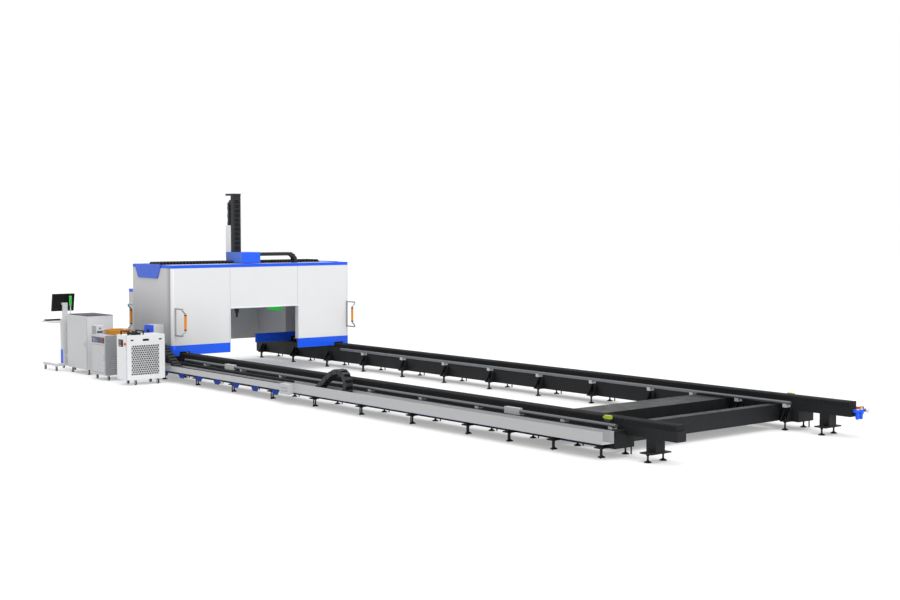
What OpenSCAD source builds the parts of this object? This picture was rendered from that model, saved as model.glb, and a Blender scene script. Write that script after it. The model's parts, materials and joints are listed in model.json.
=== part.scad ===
// Gantry laser cutting machine for structural steel, with the units that stand beside its bed.
// X runs along the bed to its free end, Y across it, Z up. Millimetres.
// Places are measured from the cabin front (X), the bed's centre line (Y) and the floor (Z),
// and the whole machine is then moved so that its box is centred on the origin.

/* [Bed] */
// Free end of the bed, measured from the cabin front
bed_front = 12000; // [11800:10:12400]
// Rear end of the bed behind the cabin front
bed_rear = 3000; // [2950:10:3300]
// End of the wide main beams
main_end = 11170; // [11050:10:11250]
// Distance of each guide rail from the centre line
rail_y = 1720; // [1700:5:1740]
// Width of the rail pedestal and of the bellows on it
pedestal_w = 160; // [156:1:170]
// Width of the main beam
beam_w = 340; // [320:5:360]
// Underside of the main beam above the floor
beam_lift = 120; // [110:1:130]
// Top of the main beam above the floor
beam_top = 340; // [325:1:345]
// Top of the rail pedestal above the floor
pedestal_top = 410; // [405:1:415]
// Distance between the long-pitch foot stations
station_pitch = 1240; // [1200:5:1260]
// Distance between the last foot stations
end_station_pitch = 840; // [780:5:860]
// Diameter of a foot pad
foot_pad_d = 90; // [70:1:110]
// Diameter of foot studs and anchor rods
stud_d = 24; // [16:1:30]
// Width of the linear guide rail
rail_w = 35; // [30:1:38]
// Height of the linear guide rail
rail_h = 34; // [28:1:36]

/* [Way covers] */
// Top of the bellows above the floor
bellows_top = 487; // [484:1:495]
// Wall of the bellows between its inside and its valleys
bellows_wall = 8; // [5:1:10]
// Depth of a pleat
pleat_depth = 10; // [6:1:12]
// Pleats in each front bellows
front_pleats = 200; // [120:1:220]
// Pleats in each rear bellows
rear_pleats = 48; // [30:1:60]

/* [Cable chain] */
// Width of the chain tray
tray_w = 200; // [190:1:215]
// Height of the long front tray
front_tray_h = 150; // [140:1:152]
// Height of the shallow rear tray
rear_tray_h = 100; // [90:1:104]
// Top edge of the long front tray above the floor
front_tray_top = 345; // [343:1:350]
// Top edge of the shallow rear tray above the floor
rear_tray_top = 300; // [298:1:305]
// Joint between the two tray lengths
tray_joint = 4120; // [4050:10:4300]
// Width of the long cable chain
chain_w = 140; // [120:1:150]
// Height of a chain link
chain_h = 76; // [60:1:80]
// Length of a chain link
link_pitch = 100; // [90:1:130]
// Middle of the chain loop
loop_x = 5550; // [5500:10:5600]
// Middle-line radius of the chain loop
loop_r = 190; // [180:1:200]

/* [Cabin] */
// Half of the cabin's width
cabin_half = 1974; // [1965:1:1990]
// Depth of the cabin along the bed
cabin_depth = 1600; // [1590:5:1700]
// Top of the cabin above the floor
cabin_top = 2100; // [2090:5:2110]
// Height of the blue band round the roof
trim_h = 60; // [50:1:70]
// Top of the blue skirt above the floor
skirt_top = 623; // [615:1:640]
// Lower edge of the skirt above the floor
skirt_low = 441; // [438:1:450]
// Radius of the cabin's upright corners
corner_r = 60; // [45:1:80]
// Thickness of the cabin's folded panels
panel_t = 40; // [30:1:45]
// Half of the width of the portal
portal_half = 754; // [700:1:780]
// Top of the portal above the floor
portal_top = 1263; // [1200:1:1290]
// Half of the width of the rear hood
hood_half = 1505; // [1480:1:1510]
// Depth of the rear hood behind the cabin
hood_depth = 1080; // [1000:5:1100]
// Top of the rear hood above the floor
hood_top = 1570; // [1540:1:1590]
// Reach of the tube guards from the cabin
guard_reach = 280; // [240:1:300]
// Diameter of the guards' tube
guard_d = 28; // [20:1:32]
// Diameter of the orange safety bars
bar_d = 46; // [40:1:54]

/* [Carriage and ram] */
// Width of the ram across the bed
ram_w = 181; // [170:1:190]
// Depth of the ram along the bed
ram_d = 95; // [85:1:100]
// Top of the ram's cap plate above the floor
ram_top = 3450; // [3400:10:3500]
// Distance of the white lift housing's top below the ram's top
housing_drop = 620; // [590:5:650]
// Height of the blue carriage cover
cover_h = 209; // [190:1:220]
// Width of the cross and lift chains
small_chain_w = 130; // [110:1:135]
// Height of a link of the cross and lift chains
small_chain_h = 68; // [56:1:72]
// Height of the tilt axis above the floor
tilt_z = 1300; // [1295:1:1310]
// Diameter of the cutting head's body
head_d = 92; // [80:1:94]
// Height of the nozzle's tip above the floor
nozzle_z = 1010; // [990:1:1050]

/* [Standing units] */
// Height of the chiller's body
chiller_top = 890; // [860:1:900]
// Depth of the chiller along the bed
chiller_d = 410; // [400:1:420]
// Width of the chiller across the bed
chiller_w = 730; // [715:1:735]
// Height of the laser source's body
source_top = 830; // [810:1:850]
// Height of the power cabinet's body
cabinet_top = 1115; // [1080:1:1130]
// Height of the keyboard shelf
shelf_z = 955; // [930:1:980]
// Width of the monitor
monitor_w = 450; // [420:1:480]
// Height of the monitor
monitor_h = 340; // [320:1:350]
// Outer diameter of the fibre coil
coil_d = 440; // [420:1:450]
// Diameter of the fibre's jacket
fibre_d = 22; // [20:1:24]
// Diameter of a castor wheel
wheel_d = 75; // [65:1:80]

/* [Hidden] */
$fn = 48;

// Fits
touch = 0.3;
slide_gap = 1;
pin_gap = 0.05;
overlap = 2;

// Bed places
beam_in = rail_y - pedestal_w / 2;
beam_out = beam_in + beam_w;
pedestal_out = rail_y + pedestal_w / 2;
stop_x = main_end - 320;
stop_len = 100;
lug_t = 18;
lug_reach = 120;
lug_edge = 10;
foot_inset = 35;
rod_inset = 100;
foot_rise = 50;
foot_shift = -22;
rod_shift = 24;
rod_d = stud_d * 0.8;
hole_gap = 2;
first_station = -2680;
long_stations = 10;
end_stations = 3;
last_long = first_station + (long_stations - 1) * station_pitch;
stations = concat(
    [for (i = [0 : long_stations - 1]) first_station + i * station_pitch],
    [for (i = [1 : end_stations]) last_long + i * end_station_pitch]);
foot_places = [beam_in - foot_inset - 10, beam_out + foot_inset];
rod_places = [beam_in - rod_inset, beam_out + rod_inset];
leg_x = 11590;
leg_w = 160;
leg_foot_places = [beam_in - 55, pedestal_out + 55];
end_beam_low = 281;
lug_half = 60;
gusset_t = 10;
gusset_foot = 30;
gusset_places = [-54, 44];
frame_top = beam_top + 10;
frame_back = [stations[long_stations] + 80, stations[long_stations] + 660];
frame_front = [stations[long_stations + 2] - 270, stations[long_stations + 2] - 120];
pan_low = 150;
pan_t = 20;
pan_half = beam_in - lug_reach - 5;
tube_d = 50;
tube_z = 385;
tube_gap = 50;
rack_w = 30;
rack_h = 26;
rack_y = rail_y + 45;
air_depth = 130;

// Machine's outer places
chiller_x = -30;
chiller_y = -3060;
switch_reach = 35;
stand_back = -3430;
low_x = stand_back;
high_x = bed_front + air_depth;
low_y = chiller_y - switch_reach;
high_y = beam_out + lug_reach + lug_edge;
origin_x = (low_x + high_x) / 2;
origin_y = (low_y + high_y) / 2;

// Tray and long chain places
tray_in = beam_out + 20;
tray_out = tray_in + tray_w;
tray_wall = 4;
tray_mid = (tray_in + tray_out) / 2;
rear_tray_back = -300;
tray_end = main_end;
chain_low = rear_tray_top - rear_tray_h + tray_wall + chain_h / 2 + touch;
lower_run_z = front_tray_top - front_tray_h + tray_wall + chain_h / 2 + touch;
loop_z = lower_run_z + loop_r;
chain_high = loop_z + loop_r;
chain_start = -250;
chain_fall = 850;
chain_rise = 800;
anchor_x = 5200;
drive_x = [-650, -310];
drive_z = [520, 1000];
drive_out = max(cabin_half + 241, tray_out + 15);
first_bracket_bay = 2;
bracket_places = concat(
    [for (i = [first_bracket_bay : long_stations - 2], share = [0.25, 0.75])
        stations[i] + share * station_pitch],
    [for (i = [0 : end_stations - 1]) last_long + (i + 0.5) * end_station_pitch]);

// Cabin places
skirt_t = 30;
lip = 18;
seam = 4;
roof_t = 24;
roof_z = cabin_top - 12;
slot_half = cabin_half - 194;
trough_near = 150;
trough_far = slot_half - 20;
notch_half = pedestal_w / 2 + 25;
notch_top = bellows_top + 20;
saddle_front = -80;
saddle_back = 80 - cabin_depth;
saddle_z = bellows_top - 17;
saddle_t = 34;
column_depth = 250;
beam_back = 60 - cabin_depth;
beam_front = beam_back + column_depth;
cross_beam_low = 1640;
cross_beam_h = 350;
column_in = 1700;
column_out = 1880;
cross_rail = 28;
guard_y = cabin_half - 59;
guard_low = 815;
guard_high = 1305;
guard_jog = 60;
guard_end = 90;
elbow_swell = 1.06;
bar_end = 24;
window_low = 1045;
window_high = 1420;
window_front = -cabin_depth - 130;
window_back = window_front - 545;
hood_back = cabin_depth + hood_depth;
badge_t = 22;
badge_back = 140 - cabin_depth;
badge_front = -400;
badge_low = 1845;

// Carriage places
housing_back = beam_front + 130;
housing_top = ram_top - housing_drop;
ram_back = housing_back + 195;
ram_front = ram_back + ram_d;
ram_near = -165;
ram_far = ram_near + ram_w;
ram_x = (ram_back + ram_front) / 2;
ram_y = (ram_near + ram_far) / 2;
ram_low = 1560;
cap_t = 38;
housing_low = 1740;
slot_back = housing_back - 55;
slot_front = ram_front + 55;
trough_back = slot_front + 70;
trough_front = trough_back + small_chain_w + 60;
cover_back = housing_back + 60;
cover_front = cover_back + 600;
cover_near = -200;
cover_far = 220;
cover_low = cabin_top + touch;
cover_wall = 6;
cross_chain_x = (trough_back + trough_front) / 2;
cross_chain_z = cabin_top + 165;
cross_loop_y = 950;
cross_loop_r = 150;
trough_z = cross_chain_z - 2 * cross_loop_r - small_chain_h / 2 - touch;
cross_anchor_y = trough_near + 40;
chain_bay = small_chain_h + 4;
lift_back_x = housing_back + 55;
lift_front_x = ram_back + chain_bay / 2;
lift_loop_r = (lift_front_x - lift_back_x) / 2;
arch_room = 80;
lift_loop_z = ram_top - cap_t - arch_room - lift_loop_r - small_chain_h / 2;
lift_anchor_z = housing_top - 330;
small_pitch = 70;
rack_tooth = 20;

// Functions
function blend(t) = (1 - cos(180 * min(1, max(0, t)))) / 2;
function chain_z(x) =
    let (fall = blend((x - chain_start) / chain_fall))
    let (rise = blend((x - (loop_x - chain_rise)) / chain_rise))
    chain_low + (chain_high - chain_low) * max(1 - fall, rise);

// Box between two corners given as ranges
module block(x, y, z) {
    translate([x[0], y[0], z[0]])
        cube([x[1] - x[0], y[1] - y[0], z[1] - z[0]]);
}

// Everything is drawn from the machine's own places, then centred
module placed() {
    translate([-origin_x, -origin_y, 0]) children();
}

module both_sides() {
    children();
    mirror([0, 1, 0]) children();
}

module upright(d, z0, z1) {
    translate([0, 0, z0]) cylinder(d = d, h = z1 - z0);
}

// Prism of an outline in the X-Z plane, from y0 to y1
module side_prism(y0, y1) {
    translate([0, y1, 0]) rotate([90, 0, 0]) linear_extrude(y1 - y0) children();
}

// Prism of an outline in the Y-Z plane, from x0 to x1
module cross_prism(x0, x1) {
    translate([x0, 0, 0]) rotate([90, 0, 90]) linear_extrude(x1 - x0) children();
}

// Straight links in a row, as an outline along the first axis
module link_row(length, height, pitch) {
    count = max(1, round(length / pitch));
    step = length / count;
    half = height / 2;
    groove = height * 0.12;
    gap = step * 0.08;
    upper = [for (i = [0 : count - 1])
        each [[i * step, half - groove], [i * step + gap, half],
              [(i + 1) * step - gap, half], [(i + 1) * step, half - groove]]];
    lower = [for (i = [len(upper) - 1 : -1 : 0]) [upper[i][0], -upper[i][1]]];
    polygon(concat(upper, lower));
}

// Half circle of links round the origin, open towards -X
module link_bow(radius, height, links) {
    step = 180 / links;
    outer = radius + height / 2;
    inner = radius - height / 2;
    groove = height * 0.12;
    gap = step * 0.08;
    outside = [for (i = [0 : links - 1])
        each [[-90 + i * step, outer - groove], [-90 + i * step + gap, outer],
              [-90 + (i + 1) * step - gap, outer], [-90 + (i + 1) * step, outer - groove]]];
    inside = [for (i = [links : -1 : 0]) [-90 + i * step, inner + groove]];
    polygon([for (p = concat(outside, inside)) [p[1] * cos(p[0]), p[1] * sin(p[0])]]);
}

// Box beams with the rail pedestal along their inner edge
module bed_beams() {
    color("#2c2e31") placed() both_sides()
        cross_prism(-bed_rear, main_end)
            polygon([[beam_in, beam_lift], [beam_out, beam_lift], [beam_out, beam_top],
                     [pedestal_out, beam_top], [pedestal_out, pedestal_top], [beam_in, pedestal_top]]);
}

// Plates for feet and rods at both faces of the beams, with gussets at the inner ones
module seat_lugs() {
    gusset_in = beam_in - lug_reach + 10;
    color("#2c2e31") placed() both_sides()
        for (x = stations) {
            difference() {
                for (y = [[beam_in - lug_reach, beam_in], [beam_out, beam_out + lug_reach + lug_edge]])
                    block([x - lug_half, x + lug_half], y, [beam_lift, beam_lift + lug_t]);
                for (y = foot_places)
                    translate([x + foot_shift, y, 0]) upright(stud_d + hole_gap, 0, beam_top);
                for (y = rod_places)
                    translate([x + rod_shift, y, 0]) upright(rod_d + hole_gap, 0, beam_top);
            }
            for (side = gusset_places)
                cross_prism(x + side, x + side + gusset_t)
                    polygon([[beam_in, beam_lift], [gusset_in, beam_lift],
                             [gusset_in, beam_lift + gusset_foot], [beam_in, beam_top - 20]]);
        }
}

// Two cross beams between the rails at the free end, with a low pan between them
module end_frame() {
    color("#26282b") placed() {
        for (x = [frame_back, frame_front])
            block(x, [-beam_in, beam_in], [beam_lift, frame_top]);
        block([frame_back[1] - overlap, frame_front[0] + overlap], [-pan_half, pan_half],
              [pan_low, pan_low + pan_t]);
    }
}

module end_beams() {
    color("#26282b") placed() both_sides() {
        block([main_end, bed_front], [beam_in, pedestal_out], [end_beam_low, pedestal_top]);
        block([leg_x - leg_w / 2, leg_x + leg_w / 2], [beam_in, pedestal_out],
              [beam_lift, end_beam_low + overlap]);
        difference() {
            block([leg_x - leg_w / 2 - 15, leg_x + leg_w / 2 + 15],
                  [beam_in - lug_reach + 20, pedestal_out + lug_reach - 20], [beam_lift - lug_t, beam_lift]);
            for (y = leg_foot_places)
                translate([leg_x, y, 0]) upright(stud_d + hole_gap, 0, beam_top);
        }
    }
}

// Pad, stud and nuts of one foot that carries a plate with its underside at plate_low
module foot(plate_low, plate_t) {
    upright(foot_pad_d, 0, 12);
    translate([0, 0, 12]) cylinder(d1 = foot_pad_d * 0.8, d2 = stud_d * 1.5, h = 14);
    upright(stud_d, 20, plate_low + plate_t + foot_rise);
    translate([0, 0, plate_low - 20 - touch]) cylinder(d = stud_d * 1.8, h = 20, $fn = 6);
    translate([0, 0, plate_low + plate_t + touch]) cylinder(d = stud_d * 1.8, h = 20, $fn = 6);
}

module levelling_feet() {
    color("#1b1c1e") placed() both_sides() {
        for (x = stations, y = foot_places)
            translate([x + foot_shift, y, 0]) foot(beam_lift, lug_t);
        for (y = leg_foot_places)
            translate([leg_x, y, 0]) foot(beam_lift - lug_t, lug_t);
    }
}

module anchor_rods() {
    color("#17181a") placed() both_sides()
        for (x = stations, y = rod_places)
            translate([x + rod_shift, y, 0]) {
                upright(rod_d, 0, beam_lift + lug_t + foot_rise);
                upright(rod_d * 1.8, beam_lift + lug_t + touch, beam_lift + lug_t + 16);
            }
}

module guide_rails() {
    color("#a8abae") placed() both_sides()
        block([-bed_rear + 20, main_end - 20], [rail_y - rail_w / 2, rail_y + rail_w / 2],
              [pedestal_top, pedestal_top + rail_h]);
}

module gear_racks() {
    color("#8b8e92") placed() both_sides()
        block([-bed_rear + 20, main_end - 20], [rack_y - rack_w / 2, rack_y + rack_w / 2],
              [pedestal_top, pedestal_top + rack_h]);
}

// Pleated cover over one rail between two places along the bed
module way_cover(x0, x1, pleats) {
    step = (x1 - x0) / pleats;
    low = pedestal_top + touch;
    valley_top = bellows_top - pleat_depth;
    half = pedestal_w / 2;
    ridge = [for (i = [0 : pleats - 1])
        each [[x0 + i * step, 0], [x0 + (i + 0.5) * step, 1]]];
    crest = concat(ridge, [[x1, 0]]);
    back = [for (i = [len(crest) - 1 : -1 : 0]) crest[i]];
    difference() {
        intersection() {
            translate([0, rail_y, low])
                linear_extrude(bellows_top - low)
                    polygon(concat(
                        [for (p = crest) [p[0], half - pleat_depth * (1 - p[1])]],
                        [for (p = back) [p[0], -half + pleat_depth * (1 - p[1])]]));
            side_prism(rail_y - half, rail_y + half)
                polygon(concat(
                    [for (p = crest) [p[0], valley_top + pleat_depth * p[1]]],
                    [[x1, low], [x0, low]]));
        }
        block([x0 - 1, x1 + 1],
              [rail_y - half + pleat_depth + bellows_wall, rail_y + half - pleat_depth - bellows_wall],
              [low - 1, valley_top - bellows_wall]);
    }
}

module front_bellows() {
    color("#1c1d20") placed() both_sides()
        way_cover(saddle_front + touch, bed_front - 20, front_pleats);
}

module rear_bellows() {
    color("#1c1d20") placed() both_sides()
        way_cover(20 - bed_rear, saddle_back - touch, rear_pleats);
}

// The tube lies on the viewer's side of each rail
function tube_places() = [-pedestal_out - tube_gap - tube_d / 2, beam_in - tube_gap - tube_d / 2];

module gas_tubes() {
    color("#4a4d50") placed()
        for (y = tube_places())
            translate([0, y, tube_z]) rotate([0, 90, 0])
                translate([0, 0, 300]) cylinder(d = tube_d, h = main_end - 380);
}

// Standoffs under the tubes, and two larger grey blocks on the near tube
module tube_blocks() {
    color("#b9bcc0") placed() {
        for (x = stations)
            if (x > 400) {
                difference() {
                    block([x - 30, x + 30], [tube_places()[0] - 22, -pedestal_out], [beam_top, tube_z]);
                    translate([x, tube_places()[0], tube_z]) rotate([0, 90, 0])
                        cylinder(d = tube_d + 2 * touch, h = 80, center = true);
                }
                difference() {
                    block([x - 30, x + 30], [tube_places()[1] - 22, beam_in], [beam_top - 20, tube_z]);
                    translate([x, tube_places()[1], tube_z]) rotate([0, 90, 0])
                        cylinder(d = tube_d + 2 * touch, h = 80, center = true);
                }
            }
        for (x = [1905, 9210])
            difference() {
                block([x - 145, x + 145], [tube_places()[0] - 32, tube_places()[0] + 32],
                      [beam_top + touch, tube_z + 42]);
                translate([x, tube_places()[0], tube_z]) rotate([0, 90, 0])
                    cylinder(d = tube_d + 2 * touch, h = 300, center = true);
            }
    }
}

// Chain tray of three plates: a floor and the two side walls that stand on it
module tray(x0, x1, top, height) {
    low = top - height;
    seat = low + tray_wall;
    block([x0, x1], [-tray_out, -tray_in], [low, seat]);
    for (y = [-tray_out, -tray_in - tray_wall])
        block([x0, x1], [y, y + tray_wall], [seat + touch, top]);
}

module rear_tray() {
    color("#c9ccd0") placed()
        tray(rear_tray_back, tray_joint - touch, rear_tray_top, rear_tray_h);
}

// Long tray with the cable entry box on its outer face
module front_tray() {
    box_low = front_tray_top - front_tray_h - 30;
    box_x = tray_joint + 135;
    box_half = 130;
    color("#c9ccd0") placed() {
        tray(tray_joint, tray_end, front_tray_top, front_tray_h);
        difference() {
            block([box_x - box_half, box_x + box_half], [-tray_out - 90, -tray_out - touch],
                  [box_low, front_tray_top - 20]);
            for (x = [-80 : 40 : 80], z = [50, 100])
                translate([box_x + x, -tray_out - 90, box_low + z]) rotate([90, 0, 0])
                    cylinder(d = 24, h = 40, center = true);
        }
    }
}

// Triangular bracket from the beam's outer face to the tray's underside
module tray_brackets() {
    color("#1f4fc4") placed()
        for (x = bracket_places) {
            seat = (x < tray_joint ? rear_tray_top - rear_tray_h : front_tray_top - front_tray_h) - touch;
            cross_prism(x - 14, x + 14)
                polygon([[-beam_out - touch, seat], [-tray_out + 20, seat],
                         [-tray_out + 20, seat - 14], [-beam_out - 20, beam_lift + lug_t + 6],
                         [-beam_out - touch, beam_lift + lug_t + 6]]);
            block([x - 40, x + 40], [-tray_out + 10, -beam_out - touch], [seat - 8, seat]);
        }
}

module travel_stops() {
    color("#b7c81e") placed() both_sides() {
        block([stop_x, stop_x + stop_len], [pedestal_out, pedestal_out + 46],
              [beam_top, bellows_top + 6]);
        translate([stop_x, pedestal_out + 23, bellows_top - 24]) rotate([0, -90, 0])
            cylinder(d1 = 36, d2 = 28, h = 30);
    }
}

// Filter bowl, regulator body and gauge on a plate at the end of the far rail
module air_unit() {
    color("#2458c8") placed() {
        block([bed_front, bed_front + 10], [beam_in, beam_in + 290], [300, pedestal_top - 5]);
        block([bed_front + 8, bed_front + 70], [beam_in + 30, beam_in + 260], [340, 385]);
        for (y = [70, 150]) {
            translate([bed_front + 60, beam_in + y, 0]) upright(52, 250, 345);
            translate([bed_front + 60, beam_in + y, 0]) upright(40, 380, 425);
        }
        translate([bed_front + 66, beam_in + 225, 362]) rotate([0, 90, 0])
            cylinder(d = 56, h = air_depth - 66);
    }
}

// Long chain: fixed run in the tray, loop, and the moving run that comes down from the cabin
module lower_chain_run() {
    color("#151618") placed()
        translate([anchor_x, 0, lower_run_z])
            side_prism(-tray_mid - chain_w / 2, -tray_mid + chain_w / 2)
                link_row(loop_x - anchor_x - touch, chain_h, link_pitch);
}

module chain_loop() {
    color("#151618") placed()
        translate([loop_x, 0, loop_z])
            side_prism(-tray_mid - chain_w / 2, -tray_mid + chain_w / 2)
                link_bow(loop_r, chain_h, 7);
}

module upper_chain_run() {
    length = loop_x - touch - chain_start;
    count = round(length / link_pitch);
    step = length / count;
    half = chain_h / 2;
    groove = chain_h * 0.12;
    upper = [for (i = [0 : count - 1])
        let (x = chain_start + i * step)
        each [[x, chain_z(x) + half - groove], [x + step * 0.1, chain_z(x) + half],
              [x + step * 0.9, chain_z(x + step) + half],
              [x + step, chain_z(x + step) + half - groove]]];
    lower = [for (i = [count : -1 : 0])
        let (x = chain_start + i * step) [x, chain_z(x) - half + groove]];
    color("#151618") placed()
        side_prism(-tray_mid - chain_w / 2, -tray_mid + chain_w / 2)
            polygon(concat(upper, lower));
}

// Quarter ring of a folded upright corner, in the quarter towards +X and +Y
module corner_ring(radius, wall) {
    intersection() {
        difference() {
            circle(radius);
            circle(radius - wall);
        }
        square(radius);
    }
}

// Outline of one cabin side: flat wall and both folded corners, on the +Y side
module side_outline(wall) {
    translate([-corner_r, cabin_half - corner_r]) corner_ring(corner_r, wall);
    translate([corner_r - cabin_depth, cabin_half - corner_r]) mirror([1, 0]) corner_ring(corner_r, wall);
    translate([corner_r - cabin_depth, cabin_half - wall])
        square([cabin_depth - 2 * corner_r, wall]);
}

module side_walls() {
    color("#e9eaec") placed() both_sides()
        translate([0, 0, skirt_top])
            linear_extrude(cabin_top - trim_h - skirt_top) side_outline(panel_t);
}

// Three front panels: one at each side of the portal, one above it
module front_panels() {
    panel_end = cabin_half - corner_r;
    color("#f1f2f3") placed() {
        both_sides() {
            block([-panel_t, 0], [portal_half + seam / 2, panel_end - seam / 8],
                  [skirt_top, cabin_top - trim_h]);
            block([-panel_t - 60, lip], [portal_half + seam / 2, portal_half + seam / 2 + 16],
                  [skirt_top, portal_top]);
        }
        block([-panel_t, 0], [-portal_half + seam / 2, portal_half - seam / 2],
              [portal_top, cabin_top - trim_h]);
        block([-panel_t - 60, lip], [-portal_half + seam / 2, portal_half - seam / 2],
              [portal_top, portal_top + 16]);
    }
}

// Roof plate with the ram's slot and the trough of the cross chain
module roof() {
    inner = cabin_half - panel_t - touch;
    rounding = max(1, corner_r - panel_t - touch);
    x0 = panel_t + touch - cabin_depth;
    x1 = -panel_t - touch;
    color("#dfe1e4") placed() {
        difference() {
            translate([0, 0, roof_z - roof_t]) {
                block([x0 + rounding, x1 - rounding], [-inner, inner], [0, roof_t]);
                block([x0, x1], [rounding - inner, inner - rounding], [0, roof_t]);
                for (x = [x0 + rounding, x1 - rounding], y = [rounding - inner, inner - rounding])
                    translate([x, y, 0]) cylinder(r = rounding, h = roof_t);
            }
            block([slot_back, slot_front], [-slot_half, slot_half], [0, cabin_top]);
            block([trough_back, trough_front], [trough_near, trough_far], [0, cabin_top]);
        }
        cross_wall = 5;
        difference() {
            block([trough_back - cross_wall, trough_front + cross_wall],
                  [trough_near - cross_wall, trough_far + cross_wall], [trough_z - cross_wall, roof_z - 1]);
            block([trough_back, trough_front], [trough_near, trough_far], [trough_z, cabin_top]);
        }
    }
}

// Outline of a closed band round the cabin
module band_outline(wall) {
    side_outline(wall);
    mirror([0, 1]) side_outline(wall);
    for (x = [-wall, -cabin_depth])
        translate([x, corner_r - cabin_half]) square([wall, 2 * (cabin_half - corner_r)]);
}

module top_trim() {
    color("#1e5cf0") placed()
        translate([0, 0, cabin_top - trim_h]) linear_extrude(trim_h) band_outline(panel_t);
}

// Blue skirt in two halves, open at the portal and notched over the rails
module skirt() {
    color("#1e5cf0") placed()
        difference() {
            translate([0, 0, skirt_low]) linear_extrude(skirt_top - skirt_low) band_outline(skirt_t);
            block([-cabin_depth - 1, 1], [-portal_half - seam / 2, portal_half + seam / 2],
                  [0, skirt_top + 1]);
            both_sides()
                block([-cabin_depth - 1, 1], [rail_y - notch_half, rail_y + notch_half], [0, notch_top]);
        }
}

// Tapered plates over the sides' upper edge
module side_badges() {
    high = cabin_top + 6;
    cut = 22;
    slope = 120;
    color("#1e5cf0") placed() both_sides()
        side_prism(cabin_half, cabin_half + badge_t)
            polygon([[badge_back, high], [badge_front, high],
                     [badge_front - slope, badge_low + cut], [badge_front - slope - cut, badge_low],
                     [badge_back + slope + 2 * cut, badge_low], [badge_back + slope + cut, badge_low + cut]]);
}

// Back wall of the cabin with the hood behind it
module rear_hood() {
    wall = 24;
    hood_low = skirt_low;
    panel_end = cabin_half - corner_r;
    back = -cabin_depth;
    color("#d9dbde") placed() {
        difference() {
            block([back, back + wall], [-panel_end + seam / 8, panel_end - seam / 8],
                  [skirt_top, cabin_top - trim_h]);
            block([back - 1, back + wall + 1], [-hood_half + wall, hood_half - wall],
                  [0, hood_top - wall]);
        }
        difference() {
            block([-hood_back, back], [-hood_half, hood_half], [hood_low, hood_top]);
            block([wall - hood_back, back + wall], [-hood_half + wall, hood_half - wall],
                  [0, hood_top - wall]);
            block([-hood_back - 1, 0], [-portal_half, portal_half], [0, portal_top]);
            both_sides()
                block([window_back, window_front], [hood_half - wall - 1, hood_half + 1],
                      [window_low, window_high]);
        }
    }
}

module hood_windows() {
    color("#1f9a3c", 0.7) placed() both_sides()
        block([window_back + touch, window_front - touch], [hood_half - 17, hood_half - 9],
              [window_low + touch, window_high - touch]);
}

// Bent tube guard: rods along a path with ball joints, standing out towards +X
module tube_path(points, d) {
    for (i = [0 : len(points) - 2]) {
        a = points[i];
        b = points[i + 1];
        run = b - a;
        length = norm(run);
        translate(a) rotate([0, acos(run[2] / length), atan2(run[1], run[0])]) cylinder(d = d, h = length);
        if (i < len(points) - 2)
            translate(b) sphere(d = d * elbow_swell);
    }
}

module guard() {
    jog_y = guard_y - guard_jog;
    tube_path([[0, guard_y, guard_high], [guard_reach, guard_y, guard_high],
               [guard_reach, guard_y, guard_high - 30],
               [guard_reach, jog_y, guard_high - guard_end],
               [guard_reach, jog_y, guard_low + guard_end],
               [guard_reach, guard_y, guard_low + 30],
               [guard_reach, guard_y, guard_low], [0, guard_y, guard_low]], guard_d);
    translate([guard_d / 2 + touch, guard_y, 0]) upright(guard_d, guard_low, guard_high);
}

module at_corners() {
    both_sides() {
        translate([touch, 0, 0]) children();
        translate([-cabin_depth - touch, 0, 0]) mirror([1, 0, 0]) children();
    }
}

module guard_brackets() {
    color("#8a8d91") placed() at_corners() guard();
}

// Orange sleeves with end collars on the guards' inner stretch
module guard_bars() {
    low = guard_low + guard_end + 12;
    high = guard_high - guard_end - 12;
    color("#f08a1c") placed() at_corners()
        translate([guard_reach, guard_y - guard_jog, 0])
            difference() {
                union() {
                    upright(bar_d, low + bar_end, high - bar_end);
                    upright(bar_d + 4, low, low + bar_end);
                    upright(bar_d + 4, high - bar_end, high);
                }
                upright(guard_d + 2 * touch, low - 1, high + 1);
            }
}

// Box on the near side from which the long chain comes down
module drive_box() {
    color("#cfd2d6") placed() {
        block(drive_x, [-drive_out, -cabin_half], drive_z);
        translate([(drive_x[0] + drive_x[1]) / 2, -drive_out, drive_z[1] - 120]) rotate([90, 0, 0])
            cylinder(d = 90, h = 12);
        block([drive_x[1] - 10, chain_start - touch], [-tray_mid - chain_w / 2, -tray_mid + chain_w / 2],
              [chain_high - chain_h / 2, chain_high + chain_h / 2]);
    }
}

// Pleated cover of the roof slot from one end to the carriage
module roof_cover(y0, y1) {
    pleats = round(abs(y1 - y0) / 70);
    step = (y1 - y0) / pleats;
    low = roof_z + touch;
    top = [for (i = [0 : pleats - 1]) each [[y0 + i * step, low + 14], [y0 + (i + 0.5) * step, low + 52]]];
    inside = [for (i = [pleats - 1 : -1 : 0])
        each [[y0 + (i + 1) * step, low], [y0 + (i + 0.5) * step, low + 34]]];
    cross_prism(slot_back - 15, slot_front + 15)
        polygon(concat(top, [[y1, low + 14]], inside, [[y0, low]]));
}

module roof_bellows() {
    color("#141416") placed() {
        roof_cover(-slot_half - 20, cover_near - touch);
        roof_cover(cover_far + touch, slot_half + 20);
    }
}

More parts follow.
